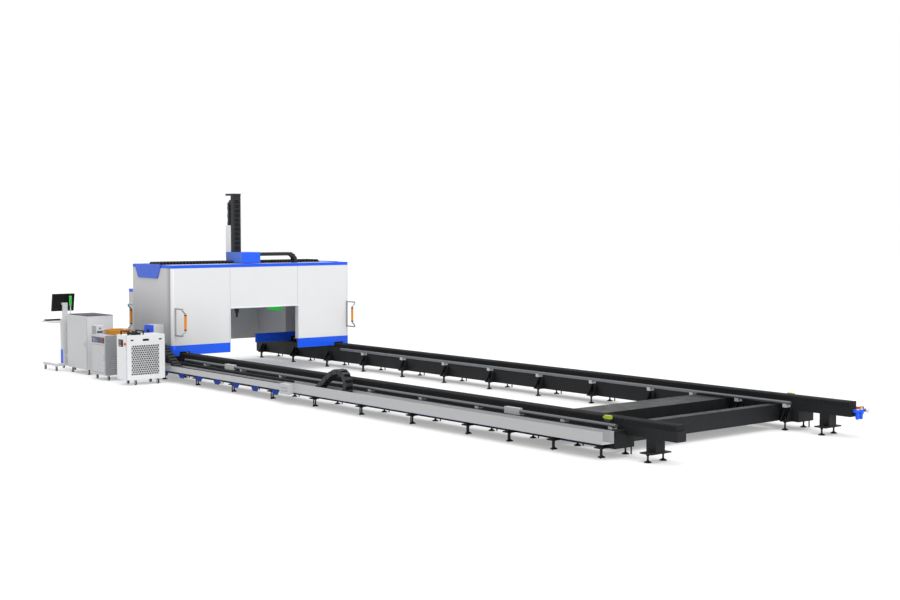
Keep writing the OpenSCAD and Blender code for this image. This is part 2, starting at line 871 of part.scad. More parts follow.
// Saddles with guide blocks on the rails, and the columns that carry the cross beam
module gantry_saddles() {
    block_w = 100;
    seat = saddle_z + saddle_t - overlap;
    color("#7d8185") placed() both_sides() {
        block([saddle_back, saddle_front], [beam_in - 10, column_out], [saddle_z, saddle_z + saddle_t]);
        block([beam_back, beam_front], [column_in, column_out], [seat, cross_beam_low]);
        side_prism(column_in + 60, column_in + 90)
            polygon([[beam_front - overlap, seat], [saddle_front - 160, seat],
                     [saddle_front - 160, seat + 32], [beam_front - overlap, cross_beam_low - 400]]);
        for (x = [saddle_back + 60, saddle_front - 260])
            difference() {
                block([x, x + 200], [rail_y - block_w / 2, rail_y + block_w / 2 - 22],
                      [pedestal_top + 8, saddle_z + overlap]);
                block([x - 1, x + 201], [rail_y - rail_w / 2 - slide_gap, rail_y + rail_w / 2 + slide_gap],
                      [pedestal_top, pedestal_top + rail_h + touch]);
            }
    }
}

// Cross beam with the two rails of the carriage on its front face
module gantry_beam() {
    reach = cabin_half - panel_t - touch;
    color("#8d9195") placed() {
        block([beam_back, beam_front], [-reach, reach],
              [cross_beam_low + touch, cross_beam_low + cross_beam_h]);
        for (z = [50, cross_beam_h - 50 - rail_w])
            block([beam_front - overlap, beam_front + cross_rail], [-slot_half, slot_half],
                  [cross_beam_low + z, cross_beam_low + z + rail_w]);
    }
}

// Bearing plate on the cross beam and the tall white lift housing
module carriage() {
    plate_back = beam_front + cross_rail + touch;
    color("#e4e6e8") placed() {
        block([plate_back, housing_back + overlap], [ram_near - 120, ram_far + 120],
              [cross_beam_low + 20, cross_beam_low + cross_beam_h - 10]);
        for (z = [50, cross_beam_h - 50 - rail_w], side = [-110, 130])
            difference() {
                block([beam_front + 4, plate_back + overlap], [ram_y + side - 70, ram_y + side + 50],
                      [cross_beam_low + z - 24, cross_beam_low + z + rail_w + 24]);
                block([beam_front, beam_front + cross_rail + touch], [ram_y + side - 71, ram_y + side + 51],
                      [cross_beam_low + z - slide_gap, cross_beam_low + z + rail_w + slide_gap]);
            }
        block([housing_back, ram_back - touch], [ram_near, ram_far], [housing_low, housing_top]);
    }
}

module carriage_cover() {
    color("#1e5cf0") placed()
        difference() {
            block([cover_back, cover_front], [cover_near, cover_far], [cover_low, cover_low + cover_h]);
            block([cover_back + cover_wall, cover_front - cover_wall],
                  [cover_near + cover_wall, cover_far - cover_wall], [0, cover_low + cover_h - cover_wall]);
            block([cover_back - 1, ram_front + 6], [ram_near - touch, ram_far + touch],
                  [0, cover_low + cover_h + 1]);
        }
}

// Cross chain: moving run on the roof, loop, and fixed run in the trough
module cross_run(y0, y1, z) {
    translate([cross_chain_x - small_chain_w / 2, y0, z])
        rotate([90, 0, 90]) linear_extrude(small_chain_w) link_row(y1 - y0, small_chain_h, small_pitch);
}

module cross_upper_run() {
    color("#151618") placed()
        cross_run(cover_far + touch, cross_loop_y - touch, cross_chain_z);
}

module cross_lower_run() {
    color("#151618") placed()
        cross_run(cross_anchor_y, cross_loop_y - touch, cross_chain_z - 2 * cross_loop_r);
}

module cross_loop() {
    color("#151618") placed()
        translate([cross_chain_x - small_chain_w / 2, cross_loop_y, cross_chain_z - cross_loop_r])
            rotate([90, 0, 90]) linear_extrude(small_chain_w) link_bow(cross_loop_r, small_chain_h, 6);
}

// Lift chain: fixed leg on the housing, bow above it, and the leg that goes down with the ram
module lift_leg(x, z0, z1) {
    translate([x, ram_y + small_chain_w / 2, z0]) rotate([90, 0, 0]) linear_extrude(small_chain_w)
        rotate(90) link_row(z1 - z0, small_chain_h, small_pitch);
}

module lift_fixed_run() {
    color("#151618") placed()
        lift_leg(lift_back_x, housing_top + touch, lift_loop_z - touch);
}

module lift_loop() {
    color("#151618") placed()
        translate([lift_back_x + lift_loop_r, ram_y + small_chain_w / 2, lift_loop_z]) rotate([90, 0, 0])
            linear_extrude(small_chain_w) rotate(90) link_bow(lift_loop_r, small_chain_h, 5);
}

// The ram is a ladder column: pockets in its front, a rack on its edge and a cap plate on top
module ram() {
    pocket = 60;
    pocket_step = 90;
    pocket_low = 2360;
    teeth = floor((ram_top - cap_t - ram_low) / rack_tooth);
    pocket_depth = (ram_d - chain_bay) * 0.6;
    wall = 22;
    bay_half = small_chain_w / 2 + 2;
    color("#1a1b1d") placed() {
        difference() {
            block([ram_back, ram_front], [ram_near, ram_far - 12], [ram_low, ram_top - cap_t]);
            for (z = [pocket_low : pocket_step : ram_top - cap_t - pocket_step])
                block([ram_front - pocket_depth, ram_front + 1], [ram_near + wall, ram_far - 12 - wall],
                      [z, z + pocket]);
            block([ram_back - 1, ram_back + chain_bay], [ram_y - bay_half, ram_y + bay_half],
                  [lift_anchor_z, ram_top]);
        }
        translate([ram_front - 30, ram_far - 12 - overlap, ram_low]) rotate([90, 0, 90]) linear_extrude(24)
            polygon(concat(
                [[0, 0]],
                [for (i = [0 : teeth - 1]) each [[5, i * rack_tooth], [11, (i + 0.25) * rack_tooth],
                                                 [11, (i + 0.5) * rack_tooth], [5, (i + 0.75) * rack_tooth]]],
                [[5, teeth * rack_tooth], [0, teeth * rack_tooth]]));
        block([lift_back_x - 60, ram_front + 12], [ram_near, ram_far - 12], [ram_top - cap_t, ram_top]);
    }
}

module lift_moving_run() {
    color("#151618") placed()
        lift_leg(lift_front_x, lift_anchor_z + touch, lift_loop_z - touch);
}

// Turning unit: round housing under the ram and a fork for the head
module turn_unit() {
    fork_gap = head_d / 2 + 5;
    cheek = 24;
    color("#3a3d40") placed() translate([ram_x, ram_y, 0]) {
        upright(84, tilt_z + 170, ram_low - touch);
        upright(190, tilt_z + 105, tilt_z + 172);
        difference() {
            for (side = [-1, 1])
                block([side > 0 ? fork_gap : -fork_gap - cheek, side > 0 ? fork_gap + cheek : -fork_gap],
                      [-46, 46], [tilt_z - 46, tilt_z + 106]);
            translate([0, 0, tilt_z]) rotate([0, 90, 0])
                cylinder(d = 40 + 2 * pin_gap, h = 400, center = true);
        }
    }
}

// Tilting head: body, trunnions, cone and nozzle
module cutting_head() {
    fork_gap = head_d / 2 + 5;
    color("#1e1f21") placed() translate([ram_x, ram_y, 0]) {
        upright(head_d, tilt_z - 120, tilt_z + 76);
        translate([0, 0, tilt_z]) rotate([0, 90, 0])
            cylinder(d = 40, h = 2 * (fork_gap + 20), center = true);
        translate([0, 0, nozzle_z + 60]) cylinder(d1 = 40, d2 = head_d, h = tilt_z - 120 - nozzle_z - 60);
        translate([0, 0, nozzle_z + 22]) cylinder(d = 44, h = 40);
        translate([0, 0, nozzle_z]) cylinder(d1 = 10, d2 = 34, h = 24);
    }
}

// One castor under a plate at height carry
module castor(carry) {
    fork = wheel_d / 2 + 4;
    translate([0, 0, wheel_d / 2]) rotate([90, 0, 0]) cylinder(d = wheel_d, h = 26, center = true);
    for (side = [-19, 14])
        block([-14, 14], [side, side + 5], [wheel_d / 2 - 10, carry - 8]);
    translate([0, 19, wheel_d / 2]) rotate([90, 0, 0]) cylinder(d = 12, h = 38);
    block([-fork / 2, fork / 2], [-24, 24], [carry - 10, carry - touch]);
}

chiller_low = 100;
source_low = 100;
source_x = [-1180, -590];
source_y = [-3020, -2400];
cabinet_x = [-2600, -1750];
cabinet_y = [-2850, -2300];
stand_x = -2830;
stand_y = -2790;
base_z = 100;
lamp_x = stand_x + 60;
lamp_y = stand_y + 90;
tilt_x = stand_x - 48;
tilt_pin_d = 14;
tilt_pin_len = 100;
screen_z = shelf_z + 350;
screen_lean = 10;

module casters() {
    color("#2a2b2d") placed() {
        for (x = [60, chiller_d - 60], y = [180, chiller_w - 110])
            translate([chiller_x + x, chiller_y + y, 0]) castor(chiller_low);
        for (x = [source_x[0] + 60, source_x[1] - 60], y = [source_y[0] + 90, source_y[1] - 90])
            translate([x, y, 0]) castor(source_low);
        for (x = [stand_back + 80, stand_x], y = [stand_y - 190, stand_y + 190])
            translate([x, y, 0]) castor(base_z);
    }
}

// Stand: base legs on castors, post, keyboard shelf and lamp box
module control_stand() {
    color("#d5d8db") placed() {
        for (y = [stand_y - 190, stand_y + 190])
            block([stand_back + 30, stand_x + 60], [y - 30, y + 30], [base_z, base_z + 40]);
        block([stand_x - 60, stand_x + 60], [stand_y - 200, stand_y + 200], [base_z, base_z + 44]);
        block([stand_x - 45, stand_x + 45], [stand_y - 80, stand_y + 80], [base_z + 40, shelf_z + 60]);
        block([stand_back, stand_x + 45], [stand_y - 230, stand_y + 230], [shelf_z - 22, shelf_z]);
        block([stand_x - 20, stand_x + 20], [stand_y - 50, stand_y + 50], [shelf_z + 55, shelf_z + 370]);
        block([lamp_x - 75, lamp_x + 70], [lamp_y - 70, lamp_y + 65], [shelf_z - overlap, shelf_z + 120]);
        difference() {
            for (side = [-40, 40])
                block([stand_x - 62, stand_x - 18], [stand_y + side - 10, stand_y + side + 10],
                      [shelf_z + 330, shelf_z + 370]);
            translate([tilt_x, stand_y, screen_z]) rotate([90, 0, 0])
                cylinder(d = tilt_pin_d + 2 * pin_gap, h = tilt_pin_len + 10, center = true);
        }
    }
}

module monitor() {
    color("#17181a") placed()
        translate([tilt_x, stand_y, screen_z]) {
            rotate([90, 0, 0]) cylinder(d = tilt_pin_d, h = tilt_pin_len, center = true);
            block([-26, 6], [-28, 28], [-14, 14]);
            rotate([0, screen_lean, 0])
                block([-62, -24], [-monitor_w / 2, monitor_w / 2], [-monitor_h * 0.45, monitor_h * 0.55]);
        }
}

module keyboard() {
    color("#232426") placed() {
        block([stand_back + 40, stand_back + 190], [stand_y - 190, stand_y + 190],
              [shelf_z + touch, shelf_z + 20]);
        for (row = [0 : 3], col = [0 : 10])
            block([stand_back + 50 + row * 33, stand_back + 76 + row * 33],
                  [stand_y - 180 + col * 33, stand_y - 154 + col * 33], [shelf_z + 19, shelf_z + 26]);
    }
}

module signal_lamp() {
    color("#18c838") placed()
        translate([lamp_x, lamp_y, 0]) {
            upright(56, shelf_z + 120 + touch, shelf_z + 136);
            upright(20, shelf_z + 130, shelf_z + 320);
            upright(50, shelf_z + 318, shelf_z + 492);
            translate([0, 0, shelf_z + 490]) cylinder(d1 = 54, d2 = 40, h = 14);
        }
}

door_t = 22;

// Cabinet on a plinth, with a hinged door on the viewer's side
module power_cabinet() {
    wall = 20;
    color("#d3d6da") placed() {
        difference() {
            block(cabinet_x, [cabinet_y[0] + door_t + slide_gap, cabinet_y[1]], [100, cabinet_top]);
            block([cabinet_x[0] + wall, cabinet_x[1] - wall], [cabinet_y[0], cabinet_y[1] - wall],
                  [100 + wall, cabinet_top - wall]);
        }
        block([cabinet_x[0] + 40, cabinet_x[1] - 40], [cabinet_y[1] - wall - 30, cabinet_y[1] - wall + overlap],
              [160, cabinet_top - 60]);
        for (z = [260, cabinet_top - 200])
            translate([cabinet_x[0] - 9, cabinet_y[0] + 9, z]) {
                difference() {
                    upright(18, 0, 60);
                    upright(10 + 2 * pin_gap, -1, 61);
                }
                block([-9, 22], [door_t - 8, door_t + 4], [0, 60]);
                block([-9, -4], [4, door_t - 6], [0, 60]);
            }
        for (x = [cabinet_x[0] + 60, cabinet_x[1] - 60], y = [cabinet_y[0] + 80, cabinet_y[1] - 60])
            translate([x, y, 0]) {
                upright(60, 0, 16);
                upright(26, 10, 102);
            }
    }
}

module cabinet_door() {
    handle_x = cabinet_x[1] - 70;
    color("#dcdfe2") placed() {
        block([cabinet_x[0] + 4, cabinet_x[1]], [cabinet_y[0], cabinet_y[0] + door_t], [104, cabinet_top - 4]);
        for (z = [260, cabinet_top - 200])
            translate([cabinet_x[0] - 9, cabinet_y[0] + 9, z]) {
                upright(10, 0, 98);
                upright(18, 62, 98);
                block([0, 20], [-9, 0], [62, 98]);
            }
        translate([handle_x, cabinet_y[0], 620]) rotate([90, 0, 0]) cylinder(d = 34, h = 10);
        block([handle_x - 11, handle_x + 11], [cabinet_y[0] - 22, cabinet_y[0] - 8], [540, 640]);
    }
}

panel_z = [source_top - 150, source_top - 40];
button_x = source_x[0] + 440;
button_z = source_top - 95;
button_travel = 6;

// Laser source with the recessed panel strip near the top of its front
module laser_source() {
    color("#c6c9cd") placed()
        difference() {
            block(source_x, source_y, [source_low, source_top]);
            block([source_x[0] + 30, source_x[1] - 30], [source_y[0] - 1, source_y[0] + 8], panel_z);
            translate([button_x, source_y[0] - 1, button_z]) rotate([-90, 0, 0])
                cylinder(d = 22 + 2 * touch, h = 40);
            for (z = [220 : 36 : 400])
                block([source_x[1] - 10, source_x[1] + 1], [source_y[0] + 120, source_y[1] - 120], [z, z + 14]);
        }
    color("#c6c9cd") placed()
        block([coil_x - 25, coil_x + 25], [coil_y + 105, coil_y + 155],
              [source_top - overlap, fibre_z + gland_d / 2]);
}

module stop_button() {
    color("#d21f1f") placed()
        translate([button_x, source_y[0] + 8, button_z]) rotate([90, 0, 0]) {
            translate([0, 0, button_travel + 0.5]) cylinder(d1 = 40, d2 = 36, h = 14);
            translate([0, 0, -20]) cylinder(d = 22, h = 20 + button_travel + 2);
        }
}

coil_x = -835;
coil_y = -2640;
coil_rows = 4;
turn_r = coil_d / 2 - fibre_d / 2;
fibre_z = source_top + touch + (coil_rows - 0.5) * fibre_d;
gland_d = fibre_d + 8;

// Box from which the fibre comes out through a gland, in line with the coil's outer turn
module fibre_box() {
    box_x = [source_x[0] + 15, source_x[0] + 190];
    box_y = [source_y[0] + 15, source_y[0] + 205];
    color("#b4b7bb") placed() {
        block(box_x, box_y, [source_top + touch, source_top + 150]);
        translate([source_x[0] + 120, box_y[0], source_top + 80]) rotate([90, 0, 0])
            cylinder(d = 50, h = 8);
        translate([box_x[1], coil_y - turn_r, fibre_z]) rotate([0, 90, 0])
            cylinder(d = gland_d, h = 48);
    }
}

// Outer shape of the coiled fibre that lies on the laser source
module fibre_coil() {
    color("#e09a2a") placed()
        translate([coil_x, coil_y, source_top + touch])
            rotate_extrude()
                translate([coil_d / 2 - 2 * fibre_d, 0])
                    square([2 * fibre_d, coil_rows * fibre_d]);
}

grille_x = chiller_x + chiller_d;
grille_y = [chiller_y + 60, chiller_y + chiller_w - 60];
grille_z = [chiller_low + 60, chiller_top - 150];
grille_t = 12;

// Chiller body with a recess for the grille and for the front display
module chiller() {
    color("#eceded") placed() {
        difference() {
            block([chiller_x, chiller_x + chiller_d], [chiller_y, chiller_y + chiller_w],
                  [chiller_low, chiller_top]);
            block([grille_x - grille_t - 30, grille_x + 1], grille_y, grille_z);
            block([chiller_x + 60, chiller_x + 250], [chiller_y - 1, chiller_y + 6],
                  [chiller_top - 210, chiller_top - 80]);
            block([grille_x - 8, grille_x + 1], [chiller_y + 300, chiller_y + 420],
                  [chiller_top - 110, chiller_top - 70]);
        }
        for (y = [90, chiller_w - 90])
            translate([grille_x, chiller_y + y, chiller_top - 85]) rotate([0, 90, 0])
                cylinder(d = 34, h = 8);
    }
}

// Perforated side panel: rows of six-sided holes, every other row shifted by half a step
module chiller_grille() {
    hole = 34;
    step_y = 44;
    step_z = 38;
    rows = floor((grille_z[1] - grille_z[0] - 40) / step_z);
    cols = floor((grille_y[1] - grille_y[0] - 50) / step_y);
    color("#e2e3e4") placed()
        difference() {
            block([grille_x - grille_t, grille_x - 3],
                  [grille_y[0] + touch, grille_y[1] - touch], [grille_z[0] + touch, grille_z[1] - touch]);
            for (row = [0 : rows - 1], col = [0 : cols - 1])
                translate([grille_x - grille_t - 1,
                           grille_y[0] + 36 + (col + (row % 2) / 2) * step_y,
                           grille_z[0] + 38 + row * step_z])
                    rotate([0, 90, 0]) cylinder(d = hole, h = grille_t + 2, $fn = 6);
        }
}

switch_x = chiller_x + chiller_d - 60;
switch_z = chiller_top - 150;

// Main switch: round plate with a bar-shaped knob, turned about its own middle
module chiller_switch() {
    color("#d32020") placed()
        translate([switch_x, chiller_y - touch, switch_z]) rotate([90, 0, 0]) {
            cylinder(d = 58, h = 10);
            cylinder(d = 40, h = 22);
            translate([-7, -20, 20]) cube([14, 40, switch_reach - 20 - touch]);
        }
}

module chiller_handles() {
    bar = 20;
    color("#1a1b1d") placed()
        for (y = [chiller_y + 40, chiller_y + 330]) {
            block([chiller_x + 60, chiller_x + 360], [y, y + bar], [chiller_top + 56, chiller_top + 76]);
            for (x = [chiller_x + 60, chiller_x + 360 - bar])
                block([x, x + bar], [y, y + bar], [chiller_top + touch, chiller_top + 60]);
        }
}

bed_beams();
seat_lugs();
end_frame();
end_beams();
levelling_feet();
anchor_rods();
guide_rails();
gear_racks();
front_bellows();
rear_bellows();
gas_tubes();
tube_blocks();
rear_tray();
front_tray();
tray_brackets();
travel_stops();
air_unit();
lower_chain_run();
chain_loop();
upper_chain_run();
gantry_saddles();
gantry_beam();
side_walls();
front_panels();
roof();
top_trim();
skirt();
side_badges();
rear_hood();
hood_windows();
guard_brackets();
guard_bars();
drive_box();
roof_bellows();
carriage();
carriage_cover();
cross_upper_run();
cross_lower_run();
cross_loop();
lift_fixed_run();
lift_loop();
lift_moving_run();
ram();
turn_unit();
cutting_head();
control_stand();
monitor();
keyboard();
signal_lamp();
power_cabinet();
cabinet_door();
laser_source();
stop_button();
fibre_box();
fibre_coil();
chiller();
chiller_grille();
chiller_switch();
chiller_handles();
casters();
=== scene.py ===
# Gantry laser cutting machine for structural steel: a cabin that rides along a railed bed,
# with its control stand, cabinet, laser source and chiller standing beside the bed.
# Places are in metres from the cabin front, the bed's centre line and the floor.
import json
import math

import bmesh
import bpy
from mathutils import Matrix, Vector


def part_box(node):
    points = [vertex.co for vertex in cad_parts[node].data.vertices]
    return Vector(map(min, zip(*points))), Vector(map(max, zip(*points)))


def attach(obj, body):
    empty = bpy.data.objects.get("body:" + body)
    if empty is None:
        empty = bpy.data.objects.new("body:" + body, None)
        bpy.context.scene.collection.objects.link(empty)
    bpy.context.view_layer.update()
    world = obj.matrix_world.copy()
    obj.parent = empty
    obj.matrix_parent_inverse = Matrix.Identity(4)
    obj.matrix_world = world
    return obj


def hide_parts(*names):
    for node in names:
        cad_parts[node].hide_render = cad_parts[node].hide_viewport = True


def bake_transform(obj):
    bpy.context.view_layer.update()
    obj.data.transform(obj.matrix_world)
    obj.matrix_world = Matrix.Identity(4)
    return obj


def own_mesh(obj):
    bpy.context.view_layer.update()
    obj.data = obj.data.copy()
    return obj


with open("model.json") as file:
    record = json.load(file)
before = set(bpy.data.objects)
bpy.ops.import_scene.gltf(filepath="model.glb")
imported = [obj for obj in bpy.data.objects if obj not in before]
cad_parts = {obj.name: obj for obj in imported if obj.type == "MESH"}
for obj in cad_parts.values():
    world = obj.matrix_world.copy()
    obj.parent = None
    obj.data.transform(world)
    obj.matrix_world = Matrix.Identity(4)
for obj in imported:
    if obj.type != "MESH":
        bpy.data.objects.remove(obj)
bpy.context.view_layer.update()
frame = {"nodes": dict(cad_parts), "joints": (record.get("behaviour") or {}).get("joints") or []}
wall_low, wall_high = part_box("side_walls")
SHIFT = Vector((wall_high.x, (wall_low.y + wall_high.y) / 2, 0.0))
scene = bpy.context.scene

# Camera: the photograph's place, aim and lens.
# The aim is a turn from the bed's cross direction and a slight look down.
AIM_TURN = math.radians(50.63)
AIM_DOWN = math.radians(3.08)
CAMERA_PLACE = (22.783, -14.094, 2.829)
CAMERA_LENS = 55.44
level = math.cos(AIM_DOWN)
aim = Vector((-math.sin(AIM_TURN) * level, math.cos(AIM_TURN) * level, -math.sin(AIM_DOWN)))
lens = bpy.data.cameras.new("camera")
lens.sensor_width = 36.0
lens.lens = CAMERA_LENS
lens.clip_end = 300.0
camera = bpy.data.objects.new("camera", lens)
camera.location = Vector(CAMERA_PLACE) + SHIFT
camera.rotation_euler = aim.to_track_quat("-Z", "Y").to_euler()
scene.collection.objects.link(camera)
scene.camera = camera

# Studio light: a broad soft sun from above, a softer key from the free end and a plain surround.
# What the camera sees, and what shines in gloss or glass, is white.
scene.view_settings.view_transform = "Standard"


def seen_share(tree):
    path = tree.nodes.new("ShaderNodeLightPath")
    share = path.outputs["Is Camera Ray"]
    for kind in ("Is Glossy Ray", "Is Transmission Ray"):
        total = tree.nodes.new("ShaderNodeMath")
        total.operation = "ADD"
        total.use_clamp = True
        tree.links.new(share, total.inputs[0])
        tree.links.new(path.outputs[kind], total.inputs[1])
        share = total.outputs[0]
    return share


world = bpy.data.worlds.new("studio")
scene.world = world
world.use_nodes = True
sky = world.node_tree
surround = sky.nodes["Background"]
surround.inputs["Color"].default_value = (1.0, 1.0, 1.0, 1.0)
surround.inputs["Strength"].default_value = 0.45
backdrop = sky.nodes.new("ShaderNodeBackground")
backdrop.inputs["Color"].default_value = (1.0, 1.0, 1.0, 1.0)
choice = sky.nodes.new("ShaderNodeMixShader")
sky.links.new(seen_share(sky), choice.inputs["Fac"])
sky.links.new(surround.outputs["Background"], choice.inputs[1])
sky.links.new(backdrop.outputs["Background"], choice.inputs[2])
sky.links.new(choice.outputs["Shader"], sky.nodes["World Output"].inputs["Surface"])


def sun(name, direction, strength, spread):
    data = bpy.data.lights.new(name, "SUN")
    data.energy = strength
    data.angle = math.radians(spread)
    lamp = bpy.data.objects.new(name, data)
    lamp.rotation_euler = Vector(direction).to_track_quat("-Z", "Y").to_euler()
    scene.collection.objects.link(lamp)


sun("top_sun", (-0.10, 0.06, -1.0), 2.2, 75.0)
sun("key_sun", (-1.0, 0.22, -0.45), 1.0, 45.0)

# Floor: a plain pale plane that takes the machine's soft shadow.
# It shows white where it is seen, and throws back a little less light than it shows.
FLOOR_HALF = 90.0
FLOOR_GLOW = 0.34
floor_paint = bpy.data.materials.new("floor_paint")
floor_paint.use_nodes = True
tree = floor_paint.node_tree
seen = seen_share(tree)
tone = tree.nodes.new("ShaderNodeMix")
tone.data_type = "RGBA"
tone.inputs["A"].default_value = (0.70, 0.70, 0.70, 1.0)
tone.inputs["B"].default_value = (0.97, 0.97, 0.97, 1.0)
tree.links.new(seen, tone.inputs["Factor"])
matt = tree.nodes.new("ShaderNodeBsdfDiffuse")
tree.links.new(tone.outputs["Result"], matt.inputs["Color"])
lift = tree.nodes.new("ShaderNodeMath")
lift.operation = "MULTIPLY"
lift.inputs[1].default_value = FLOOR_GLOW
tree.links.new(seen, lift.inputs[0])
glow = tree.nodes.new("ShaderNodeEmission")
lit = tree.nodes.new("ShaderNodeMixShader")
tree.links.new(lift.outputs[0], lit.inputs["Fac"])
tree.links.new(matt.outputs["BSDF"], lit.inputs[1])
tree.links.new(glow.outputs["Emission"], lit.inputs[2])
tree.links.new(lit.outputs["Shader"], tree.nodes["Material Output"].inputs["Surface"])
bm = bmesh.new()
bmesh.ops.create_grid(bm, x_segments=1, y_segments=1, size=FLOOR_HALF)
floor_mesh = bpy.data.meshes.new("floor")
bm.to_mesh(floor_mesh)
bm.free()
floor_mesh.materials.append(floor_paint)
floor = bpy.data.objects.new("floor", floor_mesh)
scene.collection.objects.link(floor)


# Fibre of the laser: a jacketed glass fibre that comes out of the box's gland, lies in eight turns
# on the laser source and goes into the post inside the coil. The outer column is wound downwards
# row by row and the inner one upwards again.
def rgb(code):
    parts = [int(code[i:i + 2], 16) / 255.0 for i in (1, 3, 5)]
    return (*[c / 12.92 if c <= 0.04045 else ((c + 0.055) / 1.055) ** 2.4 for c in parts], 1.0)


def surface(name, code, rough, metal=0.0, drift=0.05, patch=5.0, grain=700.0, bump=0.06, coat=0.0,
            gloss=0.5, stretch=(1.0, 1.0, 1.0)):
    mat = bpy.data.materials.new(name)
    mat.use_nodes = True
    nodes = mat.node_tree.nodes
    links = mat.node_tree.links
    shader = nodes["Principled BSDF"]
    shader.inputs["Metallic"].default_value = metal
    shader.inputs["Specular IOR Level"].default_value = gloss
    shader.inputs["Coat Weight"].default_value = coat
    shader.inputs["Coat Roughness"].default_value = 0.12
    coords = nodes.new("ShaderNodeTexCoord")
    lay = nodes.new("ShaderNodeMapping")
    lay.inputs["Scale"].default_value = stretch
    links.new(coords.outputs["Object"], lay.inputs["Vector"])
    cloud = nodes.new("ShaderNodeTexNoise")
    cloud.inputs["Scale"].default_value = patch
    cloud.inputs["Detail"].default_value = 5.0
    links.new(lay.outputs["Vector"], cloud.inputs["Vector"])
    base = rgb(code)
    tint = nodes.new("ShaderNodeMix")
    tint.data_type = "RGBA"
    tint.inputs["A"].default_value = (*[c * (1.0 - drift) for c in base[:3]], 1.0)
    tint.inputs["B"].default_value = (*[min(1.0, c * (1.0 + drift)) for c in base[:3]], 1.0)
    links.new(cloud.outputs["Fac"], tint.inputs["Factor"])
    links.new(tint.outputs["Result"], shader.inputs["Base Color"])
    polish = nodes.new("ShaderNodeMapRange")
    polish.inputs["From Min"].default_value = 0.3
    polish.inputs["From Max"].default_value = 0.7
    polish.inputs["To Min"].default_value = rough * 0.85
    polish.inputs["To Max"].default_value = min(1.0, rough * 1.15)
    links.new(cloud.outputs["Fac"], polish.inputs["Value"])
    links.new(polish.outputs["Result"], shader.inputs["Roughness"])
    speck = nodes.new("ShaderNodeTexNoise")
    speck.inputs["Scale"].default_value = grain
    links.new(lay.outputs["Vector"], speck.inputs["Vector"])
    relief = nodes.new("ShaderNodeBump")
    relief.inputs["Strength"].default_value = bump
    relief.inputs["Distance"].default_value = 0.0008
    links.new(speck.outputs["Fac"], relief.inputs["Height"])
    links.new(relief.outputs["Normal"], shader.inputs["Normal"])
    return mat


def piece(name, bm, looks, body, crease=40.0):
    bmesh.ops.recalc_face_normals(bm, faces=list(bm.faces))
    mesh = bpy.data.meshes.new(name)
    bm.to_mesh(mesh)
    bm.free()
    for look in looks:
        mesh.materials.append(look)
    mesh.set_sharp_from_angle(angle=math.radians(crease))
    made = bpy.data.objects.new(name, mesh)
    scene.collection.objects.link(made)
    if body:
        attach(made, body)
    return made


def ease(share):
    return share * share * (3.0 - 2.0 * share)


def tube(bm, points, side, radius, sides, slot=0):
    rings = []
    for i, point in enumerate(points):
        along = (points[min(i + 1, len(points) - 1)] - points[max(i - 1, 0)]).normalized()
        side = (side - along * side.dot(along)).normalized()
        turned = Matrix((along.cross(side), side, along)).transposed().to_4x4()
        ring = bmesh.ops.create_circle(bm, segments=sides, radius=radius, cap_ends=False,
                                       matrix=Matrix.Translation(point) @ turned)
        rings.append(ring["verts"])
    walls = [bm.faces.new(rings[0]), bm.faces.new(rings[-1])]
    for first, second in zip(rings, rings[1:]):
        for k in range(sides):
            n = (k + 1) % sides
            walls.append(bm.faces.new((first[k], first[n], second[n], second[k])))
    for wall in walls:
        wall.smooth = True
        wall.material_index = slot


FIBRE_D = 0.022
COIL_X = -0.835
COIL_Y = -2.640
OUTER_R = 0.209
INNER_R = 0.187
LAST_R = 0.135
LAST_TURN = math.radians(168.0)
LAST_STEPS = 16
FIBRE_LOW = 0.8303 + FIBRE_D / 2
ROWS = 4
STEPS = 36
TUBE_SIDES = 12
GLAND_X = -0.942
GLAND_STEP = 0.027
GLAND_POINTS = 4
fibre_top = FIBRE_LOW + (ROWS - 1) * FIBRE_D
route = [Vector((GLAND_X + i * GLAND_STEP, COIL_Y - OUTER_R, fibre_top)) for i in range(GLAND_POINTS)]
for step in range(2 * ROWS * STEPS):
    whole, part_turn = divmod(step / STEPS, 1.0)
    climb = ease(min(1.0, part_turn * 4.0))
    if whole < ROWS:
        row = ROWS - 1 - (whole - 1 + climb if whole else 0.0)
        radius = OUTER_R
    elif whole == ROWS:
        row = 0.0
        radius = OUTER_R - (OUTER_R - INNER_R) * climb
    else:
        row = whole - 1 - ROWS + climb
        radius = INNER_R
    turn = 2 * math.pi * (step / STEPS - 0.25)
    route.append(Vector((COIL_X + radius * math.cos(turn), COIL_Y + radius * math.sin(turn),
                         FIBRE_LOW + row * FIBRE_D)))
for step in range(LAST_STEPS + 1):
    radius = INNER_R - (INNER_R - LAST_R) * ease(step / LAST_STEPS)
    turn = LAST_TURN * step / LAST_STEPS - math.pi / 2
    route.append(Vector((COIL_X + radius * math.cos(turn), COIL_Y + radius * math.sin(turn), fibre_top)))
route = [point + SHIFT for point in route]
bm = bmesh.new()
tube(bm, route, Vector((0, 0, 1)), FIBRE_D / 2, TUBE_SIDES)
fibre_jacket = surface("fibre_jacket", "#C9871C", 0.45, drift=0.12, patch=60.0, gloss=0.3)
fibre = piece("fibre", bm, [fibre_jacket], "bed")
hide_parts("fibre_coil")


# Bed: two welded box beams with seat lugs and gussets, and the frame and beams of the free end.
# They are sprayed in a dark satin paint, and the edges are slightly rounded.
def dress(look, rounding, *names):
    for name in names:
        node = frame["nodes"][name]
        if not node.material_slots:
            node.data.materials.append(look)
        for place in node.material_slots:
            place.material = look
        if rounding:
            weld = node.modifiers.new("weld", "WELD")
            weld.merge_threshold = 0.00002
            edge = node.modifiers.new("edge", "BEVEL")
            edge.width = rounding
            edge.segments = 2
            edge.limit_method = "ANGLE"
            edge.angle_limit = math.radians(50.0)
            edge.harden_normals = True


